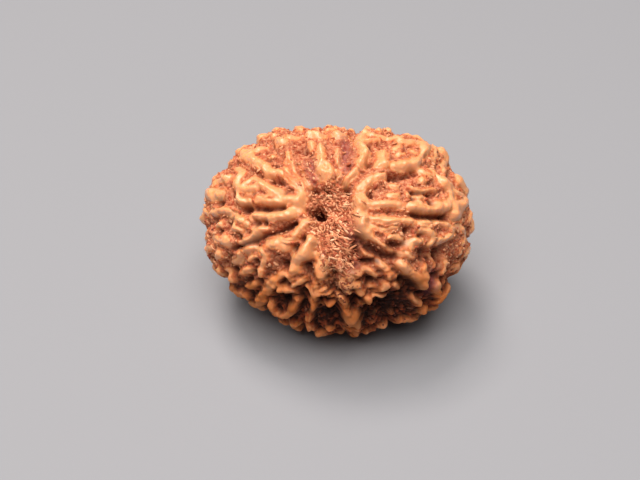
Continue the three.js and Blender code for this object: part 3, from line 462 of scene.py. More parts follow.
# %% Clefts between the lobes
CLEFTS = np.array([
    [28, 28, 0.3], [50, 56, 0.6], [76, 76, 0.9], [113, 113, 0.5], [132, 132, 0.7], [155, 150, 0.7],
    [179, 179, 0.6], [205, 205, 1.0], [228, 228, 0.7], [251, 251, 0.7], [272, 272, 0.6], [300, 298, 0.8],
    [316, 318, 0.8], [338, 338, 0.3], [352, 358, 0.4],
])
CLEFT_TURNS = (15, 60)  # degrees from the open end between which a cleft turns to its place at the waist
CLEFT_WANDER = 4  # degrees by which it wanders past the waist
CLEFT_WANDERS = (70, 120)  # degrees from the open end over which the wandering sets in
CLEFT_WAVES, CLEFT_WAVE_SHIFT = 3, 50  # waves in 360 degrees, and degrees from one cleft's to the next's


def nearest_cleft(dirs):
    """Distance in mm, depth, and the place between two clefts from 0 at one to 1 in the middle."""
    around, off = angles(dirs)
    near, waist, depth = (column[:, None] for column in CLEFTS.T)
    bent = near + (waist - near) * smoothstep(off, *CLEFT_TURNS)
    index = np.arange(len(CLEFTS))[:, None]
    waves = np.sin(np.radians(CLEFT_WAVES * off + CLEFT_WAVE_SHIFT * index))
    bent = bent + CLEFT_WANDER * waves * smoothstep(off, *CLEFT_WANDERS)
    gap = (bent - around + 540) % 360 - 180
    nearest = np.abs(gap).argmin(0)
    left = np.where(gap >= 0, gap, np.inf).min(0)
    right = np.where(gap < 0, -gap, np.inf).min(0)
    arc = np.radians(np.abs(gap).min(0)) * girth(around) * np.sin(np.radians(off))
    return arc, depth[nearest, 0], 4 * left * right / (left + right) ** 2


print("clefts:", len(CLEFTS))

# %% [markdown]
# ## Ridges grown by rule
# The sides and the far end aren't seen from the front, but a real seed is just as rough there. Laying
# more ridges by hand would only repeat the first ones. A rule grows them instead: each starts where
# there is room, wanders like a worm, and stops beside a cleft or another ridge. The draws come from a
# small formula of their own, so they are the same in every tool.

# %% Draws and wandering courses
RIDGE_STEP = 0.6
MOST_STEPS = 9
TURN_PER_STEP = 40  # degrees, at most
STRAY_NEAR_END, STRAY_AT_WAIST = 15, 80  # degrees from the way away from the end
STRAY_GROWS = (20, 60)  # degrees from the nearer end
STOP_GAP, STOP_GAP_SPREAD = 0.7, 0.6  # how near to another ridge it stops
CLEFT_CLEARANCE = 0.4


def seeded_random(seed):
    state = seed & 0xFFFFFFFF

    def draw():
        nonlocal state
        state = (state + 0x6D2B79F5) & 0xFFFFFFFF
        mixed = ((state ^ (state >> 15)) * (state | 1)) & 0xFFFFFFFF
        mixed = ((mixed + (mixed ^ (mixed >> 7)) * (mixed | 61)) ^ mixed) & 0xFFFFFFFF
        return (mixed ^ (mixed >> 14)) / 4294967296

    return draw


def wander(start, random, taken):
    grown = smoothstep(from_end(start), *STRAY_GROWS)
    stray = STRAY_NEAR_END + (STRAY_AT_WAIST - STRAY_NEAR_END) * grown
    heading = (2 * random() - 1) * stray
    steps = int(random() * MOST_STEPS)
    stop_gap = STOP_GAP + STOP_GAP_SPREAD * random()
    points = [skin(start)]
    here = start
    for _ in range(steps):
        heading += (2 * random() - 1) * TURN_PER_STEP
        around, off = angles(here)
        along = direction(around, off + 90)
        way = np.cos(np.radians(heading)) * along + np.sin(np.radians(heading)) * np.cross(here, along)
        here = unit(here + way * RIDGE_STEP / HALF_LENGTH)
        place = skin(here)
        if nearest_cleft(here[None])[0][0] < CLEFT_CLEARANCE:
            break
        if (np.linalg.norm(taken - place, axis=1) < stop_gap).any():
            break
        points.append(place)
    return np.array(points)


print("a ridge wanders at most, mm:", (MOST_STEPS - 1) * RIDGE_STEP)

# %% Grow the rest
RIDGE_SPOTS = 1700  # places on a spiral from end to end where a ridge may begin
GOLDEN_ANGLE = 137.508  # degrees from one spot to the next
SEEN_EDGE = 74  # degrees from the open end: up to here new ridges only fill gaps, so they are thin
GAP = 1.35  # how far a new ridge begins from any other
SEEN_HALF_WIDTH, HIDDEN_HALF_WIDTH, HALF_WIDTH_SPREAD = 0.24, 0.46, 0.18
BARE_EDGE, FAR_BARE_EDGE = 20, 14  # degrees from each end where none begins

taken = np.vstack([points for _, points in ridges])
for spot in range(RIDGE_SPOTS):
    random = seeded_random(spot + 1)
    height = 1 - (2 * spot + 1) / RIDGE_SPOTS
    off = np.degrees(np.arccos(height))
    start = direction(spot * GOLDEN_ANGLE % 360, off)
    if off < BARE_EDGE or off > 180 - FAR_BARE_EDGE:
        continue
    if nearest_cleft(start[None])[0][0] < CLEFT_CLEARANCE:
        continue
    if (np.linalg.norm(taken - skin(start), axis=1) < GAP).any():
        continue
    points = wander(start, random, taken)
    half_width = (SEEN_HALF_WIDTH if off < SEEN_EDGE else HIDDEN_HALF_WIDTH) + HALF_WIDTH_SPREAD * random()
    ridges.append((half_width, points))
    taken = np.vstack([taken, points])
print("ridges in all:", len(ridges))

# %% [markdown]
# ## Natural unevenness
# Grown ridges are never clean tubes: they wander, swell and pinch. Three kinds of noise give that. A sum
# of sine waves swells slowly, Blender's own noise rolls at any size, and a pattern of cells gives rounded
# knobs and crumbs, each with a gap round it and a random number of its own.

# %% Waves, noise and cells
DOME_RADIUS = 0.72  # of a knob or crumb, as a share of its cell's size


def unevenness(points, size):
    """Slow waves from -1 to 1. The added numbers keep the three waves out of step."""
    k = 2 * np.pi / size
    x, y, z = points.T
    return (np.sin(k * (x + 0.6 * y) + 1.3) + np.sin(k * (y + 0.6 * z) + 4.1)
            + np.sin(k * (z + 0.6 * x) + 2.2)) / 3


def rolling(points, size):
    """Natural noise from about -1 to 1, whose swellings are about this many millimetres apart."""
    return np.array([noise.noise(place) for place in (points / size).tolist()])


def rolling_shift(points, size):
    """The same as a push in any direction."""
    return np.array([noise.noise_vector(place) for place in (points / size).tolist()])


def cell_hash(cells, salt):
    """A random-looking number from 0 to 1 for each cell: large primes mix its three whole numbers."""
    x, y, z = (cells[..., i].astype(np.int64) for i in range(3))
    mixed = (x * 73856093) ^ (y * 19349663) ^ (z * 83492791) ^ (salt * 2654435761)
    mixed = (mixed ^ (mixed >> 13)) * 1274126177
    return ((mixed ^ (mixed >> 16)) & 0xFFFF) / 65536


def domes(points, size):
    """The height of rounded crumbs from 0 to 1, and a random number for the nearest crumb."""
    scaled = points / size
    cells = np.floor(scaled).astype(np.int64)
    least = np.full(len(points), 9.0)
    own = np.zeros(len(points))
    for step in np.ndindex(3, 3, 3):
        cell = cells + np.array(step) - 1
        middle = cell + np.stack([cell_hash(cell, salt) for salt in (1, 2, 3)], -1)
        away = np.linalg.norm(scaled - middle, axis=1)
        own = np.where(away < least, cell_hash(cell, 4), own)
        least = np.minimum(least, away)
    return np.clip(1 - (least / DOME_RADIUS) ** 3, 0, 1), own


print("noise at one place:", round(noise.noise((0.3, 0.4, 0.5)), 4))

# %% [markdown]
# ## How near each point is to a course
# A ridge, a groove and a stain all fade away from a course. One helper finds the points near each row,
# so that a distance is only worked out where it can matter. Another gives the share, from 1 on the course
# down to 0, that hollows, stains and the matted fibre all use.

# %% Distances and shares
SHARE_REACH = 3  # in half widths: further away the share is as good as 0
SOFT_EDGE, FIRM_EDGE = 2, 4  # powers of the distance: a bell, and a plateau with an edge
UPPER_STARTS, TOP_STARTS = (-6, -1), (2, 6)  # mm over the seed's middle, as seen from the front


def distance_to(points, course):
    if len(course) == 1:
        return np.linalg.norm(points - course[0], axis=1)
    least = np.full(len(points), np.inf)
    for a, b in zip(course, course[1:]):
        t = np.clip((points - a) @ (b - a) / ((b - a) @ (b - a)), 0, 1)
        least = np.minimum(least, np.linalg.norm(points - a - t[:, None] * (b - a), axis=1))
    return least


def near_rows(points, rows, reach_out):
    """For each row its half width, the points near it, and how far they are from its course."""
    for half_width, course in rows:
        margin = reach_out * half_width
        near = ((points > course.min(0) - margin) & (points < course.max(0) + margin)).all(1).nonzero()[0]
        if len(near):
            yield half_width, near, distance_to(points[near], course)


def share_of(rows, points, edge):
    best = np.zeros(len(points))
    for half_width, near, away in near_rows(points, rows, SHARE_REACH):
        best[near] = np.maximum(best[near], np.exp(-(away / half_width) ** edge))
    return best


def upper_share(points):
    """From 0 on the lower half of the seed as it lies to 1 on its upper half."""
    return smoothstep(points @ POSE @ PICTURE_UP, *UPPER_STARTS)


def top_share(points):
    """From 0 at the seed's middle, as it lies, to 1 towards its top."""
    return smoothstep(points @ POSE @ PICTURE_UP, *TOP_STARTS)


print("upper share at the canal's mouth:", upper_share(canals[0][1]).round(2))

# %% [markdown]
# ## From courses to heights
# A ridge is as high as its distance from its course allows: full on the course, and down to nothing about
# one and a half half-widths away. A high power of the shares, summed, joins crossing ridges smoothly
# without making the crossing higher. Noise bends each course and swells and pinches it, and knobs from
# the cell pattern break it into the warts of the real seed. They are deepest on the lower half.

# %% What shapes a ridge
BEND, BEND_SIZE = 0.2, 1.1  # how far noise bends a course, and how far apart the bends are
WIDTH, WIDTH_WAVES, WIDTH_WAVE_SIZE = 1.08, 0.14, 1.9  # factors on a half width
PINCH, PINCH_SIZE = 0.28, 0.75  # how much a ridge swells and pinches
STOUTER_BELOW = 0.06  # how much wider the lower ridges are
RIDGE_REACH = 2.4  # in half widths: further away a ridge has no height
RIDGE_PROFILE = 2.8  # the power of the distance: over 2, the top is flatter than a bell
STOUT_LEAST, STOUT_PER_MM, STOUT_MOST = 0.62, 0.85, 1.2  # wider ridges are also higher
JOIN_POWER = 6  # the power with which crossing ridges are summed
KNOB_SIZE, KNOB_TOP = 1.25, 1.15  # how far apart the knobs are, and how high over a plain ridge
KNOBS, KNOBS_EASED_ABOVE = 0.6, 0.55  # how deep the dips between them are, and how much less so above
KNOB_SHIFT = 20  # keeps the knobs' cells apart from the crumbs' cells


def ridge_share(points, upper, hollow):
    """From 0 between the ridges to about 1 on their tops. Grown ridges keep out of the hollows."""
    pinch = PINCH * (0.5 + 0.5 * upper) * rolling(points, PINCH_SIZE)
    widen = (WIDTH + WIDTH_WAVES * unevenness(points, WIDTH_WAVE_SIZE)) * (1 + pinch)
    widen *= 1 + STOUTER_BELOW * (1 - upper)
    ridge = np.zeros(len(points))
    by_hand = len(SEEN_RIDGES)
    for rows, kept in ((ridges[:by_hand], np.ones(len(points))), (ridges[by_hand:], 1 - hollow)):
        for half_width, near, away in near_rows(points, rows, RIDGE_REACH):
            stout = min(STOUT_LEAST + STOUT_PER_MM * half_width, STOUT_MOST) * kept[near]
            profile = np.exp(-(away / (half_width * widen[near])) ** RIDGE_PROFILE)
            ridge[near] += (stout * profile) ** JOIN_POWER
    ridge **= 1 / JOIN_POWER
    knob = domes(points + KNOB_SHIFT, KNOB_SIZE)[0]
    ridge *= KNOB_TOP - KNOBS * (1 - KNOBS_EASED_ABOVE * upper) * (1 - knob)
    return ridge


first = ridges[0][1]
along_first = ridge_share(first, upper_share(first), np.zeros(len(first)))
print("ridge share along the first ridge:", along_first.min().round(2), "to", along_first.max().round(2))

# %% [markdown]
# ## The whole relief
# Ridges, lobes, clefts, hollows and the canal's mouth are added up to one height over the skin. The
# sunken end has no ridges: it only swells a little where the fibre is matted. A few shares are kept
# beside the height, because painted shade, oil and loose crumbs follow them later.

# %% Add up the relief
CORE_EDGE, CORE_BLEND = 6, 5  # degrees from the end: the bare core, and the blend to the ridges
CLEFT_STARTS = (10, 24)  # degrees from the end over which a cleft deepens
CLEFT_HALF_WIDTH, CLEFT_DEPTH = 0.36, 0.3
CLEFT_BITE = 0.4  # how much a cleft lowers a ridge that crosses it
HEIGHT_LESS_ABOVE, HEIGHT_WAVES, HEIGHT_WAVE_SIZE = 0.1, 0.16, 2.3  # factors on a ridge's height, and mm
LOBE_SWELL = 0.12
MATTED_SWELL, MATTED_SIZE = 0.12, 1.4
HOLLOW_DEPTH, CANAL_DEPTH = 0.5, 1.7
HOLLOWS_BELOW, HOLLOWS_LESS_ABOVE = 1.3, 0.3  # factors on a hollow's depth
MOST_CREST = 1.1  # the highest ridge share that is stored
HOLLOW_DARK, CANAL_RIM = 0.8, 0.4  # how dark a hollow is painted as shade, and a power that widens the canal's mouth painted dark as shade


def relief(dirs):
    """The height over the skin, and the shares that the materials use."""
    points = skin(dirs)
    points = points + BEND * rolling_shift(points, BEND_SIZE)
    ends = from_end(dirs)
    upper = upper_share(points)
    hollow = share_of(hollows, points, SOFT_EDGE)
    canal = share_of(canals, points, FIRM_EDGE)
    ridge = ridge_share(points, upper, hollow)
    opened = smoothstep(ends, CORE_EDGE, CORE_EDGE + CORE_BLEND)
    arc, depth, middle = nearest_cleft(dirs)
    groove = depth * smoothstep(ends, *CLEFT_STARTS) * np.exp(-(arc / CLEFT_HALF_WIDTH) ** 2)
    uneven = 1 - HEIGHT_LESS_ABOVE * upper + HEIGHT_WAVES * unevenness(points, HEIGHT_WAVE_SIZE)
    raised = RIDGE_HEIGHT * uneven * ridge * opened * (1 - CLEFT_BITE * groove)
    deeper = HOLLOWS_BELOW - HOLLOWS_LESS_ABOVE * upper
    rough = (raised + LOBE_SWELL * (middle - 1) * opened
             + MATTED_SWELL * (1 - opened) * unevenness(points, MATTED_SIZE)
             - CLEFT_DEPTH * groove - deeper * HOLLOW_DEPTH * hollow - CANAL_DEPTH * canal)
    crest = np.minimum(ridge * opened, MOST_CREST)
    return rough, {"crest": crest, "hollow": np.maximum(HOLLOW_DARK * hollow, canal ** CANAL_RIM)}


print("height in the canal's mouth, mm:", relief(seen_directions([SEEN_CANAL]))[0].round(2))

# %% [markdown]
# ## The flat spot
# The seed rests on the worn tops of its lowest ridges. With none of them worn it would stand on a point
# and roll. The heights are made level there and lowered a little round it, as in the solid.

# %% Wear a flat spot
FOOT = POSE @ np.array([0, 0, -1.0])  # straight down, in the seed's own axes
FOOT_RADIUS, FOOT_FILL, FOOT_CUT = 2.3, 0.55, 0.3  # its size, its height over the skin, what is cut off
FOOT_STEP, FOOT_WEAR_SLOPE = 0.2, 0.1  # how the ridges beside it are worn


def worn(dirs, rough):
    """The height with the flat spot and the worn ridges beside it."""
    past_foot = np.arccos(np.clip(dirs @ FOOT, -1, 1)) * HALF_LENGTH - FOOT_RADIUS
    lowered = np.minimum(rough, FOOT_FILL - FOOT_STEP + FOOT_WEAR_SLOPE * past_foot)
    return np.where(past_foot < 0, FOOT_FILL, lowered), past_foot


print("the flat spot, in the seed's own axes:", FOOT.round(2))

# %% [markdown]
# ## A fine net of facets
# Crumbs need facets of about a tenth of a millimetre. A globe's rings would crowd at the poles, so an
# icosahedron is taken, whose faces are split evenly into facets of nearly one size. The net is drawn
# towards the open end, which is the side with the finest relief.

# %% Split an icosahedron
def ball_net(splits):
    """The corners and triangles of a ball whose 20 faces are each split this many times a side."""
    golden = (1 + 5 ** 0.5) / 2
    corners = unit(np.array([
        [-1, golden, 0], [1, golden, 0], [-1, -golden, 0], [1, -golden, 0], [0, -1, golden], [0, 1, golden],
        [0, -1, -golden], [0, 1, -golden], [golden, 0, -1], [golden, 0, 1], [-golden, 0, -1], [-golden, 0, 1],
    ]))
    faces = [[0, 11, 5], [0, 5, 1], [0, 1, 7], [0, 7, 10], [0, 10, 11], [1, 5, 9], [5, 11, 4], [11, 10, 2],
             [10, 7, 6], [7, 1, 8], [3, 9, 4], [3, 4, 2], [3, 2, 6], [3, 6, 8], [3, 8, 9], [4, 9, 5],
             [2, 4, 11], [6, 2, 10], [8, 6, 7], [9, 8, 1]]
    i, j = np.meshgrid(np.arange(splits + 1), np.arange(splits + 1), indexing="ij")
    grid = np.full((splits + 1, splits + 1), -1)
    inside = i + j <= splits
    grid[inside] = np.arange(inside.sum())
    i, j = i[inside], j[inside]
    up = np.stack([grid[i, j], grid[np.minimum(i + 1, splits), j], grid[i, np.minimum(j + 1, splits)]], 1)
    up = up[i + j < splits]
    a, b = np.maximum(i, 1), np.maximum(j, 1)
    down = np.stack([grid[i, j], grid[a - 1, j], grid[i, b - 1]], 1)[(i > 0) & (j > 0)]
    pattern = np.vstack([up, down])
    points, triangles = [], []
    for n, (p, q, r) in enumerate(corners[face] for face in faces):
        points.append(p + np.outer(i / splits, q - p) + np.outer(j / splits, r - p))
        triangles.append(pattern + n * len(i))
    points, triangles = np.vstack(points), np.vstack(triangles)
    _, first, where = np.unique(points.round(7), axis=0, return_index=True, return_inverse=True)
    return unit(points[first]), where.ravel()[triangles]


print("facets of a small ball:", len(ball_net(2)[1]))

# %% The net
NET_SPLITS = 98
NET_DRAWN, NET_DRAWN_SPREAD = 0.2, 28  # how much finer the net is at each end, and over how many degrees
NET_FORWARD = 14  # degrees by which the waist of the net is drawn to the open end

net, triangles = ball_net(NET_SPLITS)
around, off = angles(net)
ends = np.minimum(off, 180 - off)
drawn = ends * (1 - NET_DRAWN * np.exp(-(ends / NET_DRAWN_SPREAD) ** 2))
off = np.where(off < 90, drawn, 180 - drawn)
dirs = direction(around, off - NET_FORWARD * np.sin(np.radians(off)))
print("facets:", len(triangles))

# %% [markdown]
# ## Neighbours
# A knob's flanks are rounder than a formula of distances gives. A Smooth modifier would round the
# finished mesh, crumbs and all. Smoothing the heights alone, before the crumbs are added, rounds the
# ridges and leaves the crumbs sharp.

# %% Smooth values over the net
sides = np.vstack([triangles[:, pair] for pair in ([0, 1], [1, 2], [2, 0])])
edges = np.unique(np.sort(sides, 1), axis=0)
neighbours = np.bincount(edges.ravel(), minlength=len(dirs))


def smoothed(values, rounds):
    """Values on the net's corners, each drawn to the mean of its neighbours this many times."""
    for _ in range(rounds):
        total = np.bincount(edges[:, 0], values[edges[:, 1]], len(dirs))
        total += np.bincount(edges[:, 1], values[edges[:, 0]], len(dirs))
        values = 0.5 * values + 0.5 * total / neighbours
    return values


print("neighbours of a corner:", neighbours.min(), "to", neighbours.max())

# %% [markdown]
# ## Crumbs in the valleys
# Dried pulp and fibre cling between the ridges as crumbs, a quarter to half a millimetre across. Noise
# in a bump map would leave the outline smooth, so the crumbs are real relief, from the cell pattern in
# two sizes. On the upper half they fill the valleys almost to the brim. Below, the valleys are emptied,
# the crumbs stand higher and climb the flanks, and handling has worn the ridges' tips blunt.

# %% Crumbs and lumps
ROUNDING = 5  # how many times the ridges are smoothed
BLUNT_HEIGHT, BLUNTNESS, BLUNT_RISE = 0.6, 0.1, 0.2  # how the lower ridges' tips are cut, mm
COARSE_SIZE, COARSE_SHARE, COARSE_BEND = 0.5, 0.6, 0.1  # mm, share of the height, and noise in mm
FINE_SIZE, FINE_SHARE, FINE_SHIFT = 0.3, 0.4, 7  # the shift keeps their cells apart from the coarse ones
LEAST_CRUMB = 0.3  # the lowest crumb, as a share of the highest
CREST_NOISE = 0.25  # how ragged the edge of the crumbs is
VALLEY_EDGE = (0.35, 0.8)  # ridge shares between which the crumbs end
FILLED = 0.22  # how much fuller the upper valleys are, mm
EMPTIED = 0.28  # and how much deeper the lower ones
CRUMB_CLIMB = 0.16  # how much nearer to the crest the crumbs reach below
CRUMB_HEIGHT, CRUMB_MIDDLE = 0.3, 0.3  # mm, and the share of it that sits below the valley's floor
CRUMBS_BELOW, CRUMBS_LESS_ABOVE = 1.5, 0.5  # factors on a crumb's height
LUMP_HEIGHT, LUMP_SIZE, LUMPS_LESS_IN_VALLEYS = 0.2, 0.7, 0.5  # mm, mm and a share
GRAIN_HEIGHT, GRAIN_BUMP_SIZE, GRAIN_ON_TOPS = 0.18, 0.28, 0.4  # mm, mm and a share


def surface(dirs, rounding=0):
    """The finished height over the skin, and the shares that the materials use."""
    rough, facts = relief(dirs)
    points = skin(dirs)
    upper = upper_share(points)
    rough = smoothed(rough, rounding)
    blunt = -BLUNTNESS * np.logaddexp(-rough / BLUNTNESS, -BLUNT_HEIGHT / BLUNTNESS)
    rough = upper * rough + (1 - upper) * (smoothed(blunt, rounding) + BLUNT_RISE)
    coarse, own = domes(points + COARSE_BEND * rolling_shift(points, COARSE_SIZE), COARSE_SIZE)
    fine, fine_own = domes(points + FINE_SHIFT, FINE_SIZE)
    crumb = (COARSE_SHARE * coarse * (LEAST_CRUMB + (1 - LEAST_CRUMB) * own)
             + FINE_SHARE * fine * (LEAST_CRUMB + (1 - LEAST_CRUMB) * fine_own))
    lumps = rolling(points, LUMP_SIZE)
    climb = CRUMB_CLIMB * (1 - upper)
    valley = 1 - smoothstep(facts["crest"] + CREST_NOISE * lumps - climb, *VALLEY_EDGE)
    filling = (FILLED * upper - EMPTIED * (1 - upper)) * (1 - facts["hollow"])
    crumb_height = CRUMB_HEIGHT * (CRUMBS_BELOW - CRUMBS_LESS_ABOVE * upper)
    rough = rough + valley * (filling + crumb_height * (crumb - CRUMB_MIDDLE))
    rough = rough + (1 - LUMPS_LESS_IN_VALLEYS * valley) * LUMP_HEIGHT * lumps
    grain = rolling(points, GRAIN_BUMP_SIZE)
    rough = rough + (GRAIN_ON_TOPS + (1 - GRAIN_ON_TOPS) * valley) * GRAIN_HEIGHT * grain
    height, past_foot = worn(dirs, rough)
    facts |= {"crumb": crumb, "valley": valley, "upper": upper, "past_foot": past_foot}
    return height, facts


height, facts = surface(dirs, ROUNDING)
points = skin(dirs)
print("share of the surface that is valley:", round(float((facts["valley"] > 0.5).mean()), 2))

# %% [markdown]
# ## The stone
# The fine net, raised by the relief, becomes one closed mesh. It is turned to the lying pose and cut flat
# where it rests. Then it is moved so that its box sits in the middle of the solid's box.

# %% Make the stone's mesh
def mesh_piece(name, verts, faces, smooth=True):
    mesh = bpy.data.meshes.new(name)
    mesh.from_pydata((verts * MM).tolist(), [], faces.tolist())
    mesh.polygons.foreach_set("use_smooth", [smooth] * len(mesh.polygons))
    piece = bpy.data.objects.new(name, mesh)
    bpy.context.scene.collection.objects.link(piece)
    return piece


placed = (points + outward(dirs) * height[:, None]) @ POSE
level = placed[:, 2].min() + FOOT_CUT
placed[:, 2] = np.maximum(placed[:, 2], level)
middle = (placed.min(0) + placed.max(0)) / 2
solid_middle = (solid_low + solid_high) / 2
MOVE = np.array([solid_middle[0] - middle[0], solid_middle[1] - middle[1], -level])
stone = mesh_piece("seed_stone", placed + MOVE, triangles)
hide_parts("stone")
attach(stone, "root")
print("seed's middle above the table, mm:", round(float(MOVE[2]), 2))

# %% [markdown]
# ## What the materials need to know
# Dirt and painted shade gather where the surface is lower than what lies round it. The height, smoothed over
# its neighbours and compared with itself, tells how deep each point sits, and deeper points are painted
# darker as shade. The matted fibre in the sunken end, its trail down the front and a few violet stains are
# laid like the ridges. All these shares are stored on the mesh, so that the colours follow the shape from
# every side and not the camera.

# %% Store the shares on the mesh
CORE_MAT = [laid(row) for row in (
    [1.9, [[-0.5, 2.7], [-0.45, 1]]], [1.25, [[-0.5, 0], [-0.1, -1.3], [0.7, -2.5]]],
)]
CORE_TRAIL = [laid(row) for row in (
    [0.9, [[0.8, -2.8], [1, -4.2], [0.4, -5.6]]], [0.6, [[-0.7, -1], [-0.7, -2.6], [-0.3, -4.4]]],
)]
STAINS = [laid(row) for row in (
    [0.8, [[1.2, 0.8], [1.3, -0.6]]], [0.6, [[0.9, 9], [0.9, 7.7], [0.9, 6.5]]],
    [0.7, [[0.8, -2.2], [1.6, -3.2]]], [0.5, [[-2.6, 6.9], [-2.2, 5.2]]], [0.5, [[9.6, -4], [9.2, -6]]],
)]
CAVITY_ROUNDS = 18  # how far round a point its height is compared
CAVITY_DEPTH = 0.35  # how deep a point sits where the dirt and painted shade are darkest, mm


def store(piece, name, values):
    field = piece.data.attributes.new(name, "FLOAT", "POINT")
    field.data.foreach_set("value", np.asarray(values, np.float32))


core = share_of(CORE_MAT, points, FIRM_EDGE)
trail = share_of(CORE_TRAIL, points, SOFT_EDGE)
sunk = smoothed(height, CAVITY_ROUNDS) - height
WOOD_SHARES = {
    "crest": facts["crest"], "hollow": facts["hollow"], "core": core,
    "stain": share_of(STAINS, points, SOFT_EDGE), "crumb": facts["crumb"], "upper": facts["upper"],
    "top": top_share(points), "sunk": np.clip(sunk / CAVITY_DEPTH, -1, 1),
}
for name, values in WOOD_SHARES.items():
    store(stone, name, values)
print("sunk, mm:", sunk.min().round(2), sunk.max().round(2))

# %% [markdown]
# ## Loose crumbs
# Relief alone can't overhang. Chips of dried pulp lie in the valleys at all angles, with dark gaps under
# them. A particle system could scatter them, but its copies aren't meshes that can be measured, so plain
# meshes are made. Each chip is a small knobbly ball, drawn out and squashed at random and half sunk in
# the surface. There are chips, finer grit between them, and crumbs in the sunken end.

# %% A helper that scatters chips
SCATTER_SEED = 20
CHIP_STRETCH = ((1, 1.9), (0.65, 1), (0.35, 0.7))  # factors on its length, width and thickness
CHIP_KNOBS = (-0.3, 0.22)  # how far its corners are pushed in or out
CHIP_TILT = 0.5  # how far it leans from the surface
TABLE_CLEARANCE = 0.02  # mm
rng = np.random.default_rng(SCATTER_SEED)


def scatter(name, many, splits, sizes, weight, sink):
    """Chips on the stone where the weight, one for each corner, is high."""
    corners = placed[triangles]
    normals = np.cross(corners[:, 1] - corners[:, 0], corners[:, 2] - corners[:, 0])
    odds = np.linalg.norm(normals, axis=1) * weight[triangles].mean(1)
    chosen = rng.choice(len(triangles), many, p=odds / odds.sum())
    parts = rng.dirichlet([1, 1, 1], many)
    middle = (corners[chosen] * parts[..., None]).sum(1)
    ball, facets = ball_net(splits)
    size = np.exp(rng.uniform(*np.log(sizes), many))
    stretch = np.stack([rng.uniform(*span, many) for span in CHIP_STRETCH], 1)
    knobs = ball[None] * (1 + rng.uniform(*CHIP_KNOBS, (many, len(ball), 1)))
    shape = knobs * (0.5 * size[:, None] * stretch)[:, None]
    up = unit(normals[chosen])
    along = unit(np.cross(up, rng.normal(size=(many, 3))))
    up = unit(up + CHIP_TILT * rng.normal(size=(many, 3)))
    along = unit(along - up * (along * up).sum(1, keepdims=True))
    turn = np.stack([along, np.cross(up, along), up], 1)
    verts = shape @ turn + (middle + up * (size * rng.uniform(*sink, many))[:, None])[:, None]
    verts[..., 2] = np.maximum(verts[..., 2], level + TABLE_CLEARANCE)
    faces = facets[None] + (np.arange(many) * len(ball))[:, None, None]
    piece = mesh_piece(name, verts.reshape(-1, 3) + MOVE, faces.reshape(-1, 3))
    store(piece, "own", np.repeat(rng.random(many), len(ball)))
    store(piece, "upper", np.repeat(facts["upper"][triangles[chosen, 0]], len(ball)))
    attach(piece, "root")
    print(name, "chips:", many, "facets:", len(faces) * len(facets))
    return piece


# %% Scatter the chips, the grit and the core's crumbs
BARE_ROUND_FOOT = 1  # mm without chips round the flat spot
PITS_KEPT = 1.5  # how strongly chips keep out of the pits
CHIPS_BELOW = 0.12  # how many lie on the lower half, as a share
CHIPS_ON_TRAIL = 0.35  # and on the trail down the front

open_valley = (facts["valley"] ** 2 * (facts["past_foot"] > BARE_ROUND_FOOT)
               * np.maximum(1 - PITS_KEPT * facts["hollow"], 0))
open_valley = open_valley * (CHIPS_BELOW + facts["upper"] ** 2)
on_core = (core ** 2 + CHIPS_ON_TRAIL * trail) * (1 - facts["hollow"])
chips = scatter("valley_chips", 1300, 2, (0.26, 0.46), open_valley, (-0.28, -0.05))
grit = scatter("valley_grit", 3200, 1, (0.16, 0.3), open_valley, (-0.25, 0.02))
core_crumbs = scatter("core_crumbs", 1300, 1, (0.16, 0.34), on_core, (-0.3, 0.0))

# %% [markdown]
# ## Fibres
# The sunken end is filled with matted fibre: short flat strands that lie on each other, mostly slanting
# one way. A few lie on the trail down the front, and none over the canal's mouth. Hair curves would be
# quick, but they aren't meshes. Each strand here is a small tapered tube that follows the surface, so it
# keeps its shape anywhere.

# %% A helper that makes strands
STRAND_RINGS, STRAND_SIDES = 5, 5  # along a strand, and round it
STRAND_CURL = 30  # degrees by which the headings of its two ends differ, for most
STRAND_ARCH, STRAND_ARCHES = 0.06, (0.2, 1.2)  # mm by which the middle stands up, and factors on it
TIP_WIDTH, BELLY_WIDTH = 0.35, 0.65  # factors on the width
TAPER_START, TAPER_SPAN = 0.12, 0.76  # the part of a half wave that tapers a strand
STRAND_KNOBS = 0.25  # how much its width varies
STRAND_HALF_WIDE, STRAND_HALF_THICK = 0.5, 0.32  # factors on the width


def strands(starts, headings, lengths, widths, lifts):
    """Tapered tubes on the surface. Starts are seen places, headings are degrees in the picture."""
    t = np.linspace(0, 1, STRAND_RINGS)
    heading = np.radians(headings[:, None] + rng.normal(0, STRAND_CURL, (len(starts), 1)) * (t - 0.5))
    step = lengths[:, None, None] * t[None, :, None] * np.stack([np.cos(heading), np.sin(heading)], -1)
    places = (np.asarray(starts)[:, None] + step).reshape(-1, 2)
    way = seen_directions(places)
    base, _ = surface(way)
    base = base.reshape(len(starts), STRAND_RINGS)
    base = 0.5 * base + 0.5 * base.mean(1, keepdims=True)
    arch = STRAND_ARCH * np.sin(np.pi * t)[None] * rng.uniform(*STRAND_ARCHES, (len(starts), 1))
    lift = lifts[:, None] + arch
    up = outward(way)
    line = (skin(way) + up * (base + lift).reshape(-1, 1)).reshape(len(starts), STRAND_RINGS, 3)
    up = up.reshape(line.shape)
    across = unit(np.cross(np.gradient(line, axis=1), up))
    taper = TIP_WIDTH + BELLY_WIDTH * np.sin(np.pi * (TAPER_START + TAPER_SPAN * t))[None]
    thin = (widths[:, None] * taper)[..., None]
    rim = []
    for side in range(STRAND_SIDES):
        turn = 2 * np.pi * side / STRAND_SIDES
        knobs = 1 + rng.uniform(-STRAND_KNOBS, STRAND_KNOBS, thin.shape)
        edge = STRAND_HALF_WIDE * np.cos(turn) * across + STRAND_HALF_THICK * np.sin(turn) * up
        rim.append(line + thin * knobs * edge)
    return np.stack(rim, 2).reshape(-1, 3) @ POSE + MOVE, strand_faces(len(starts))


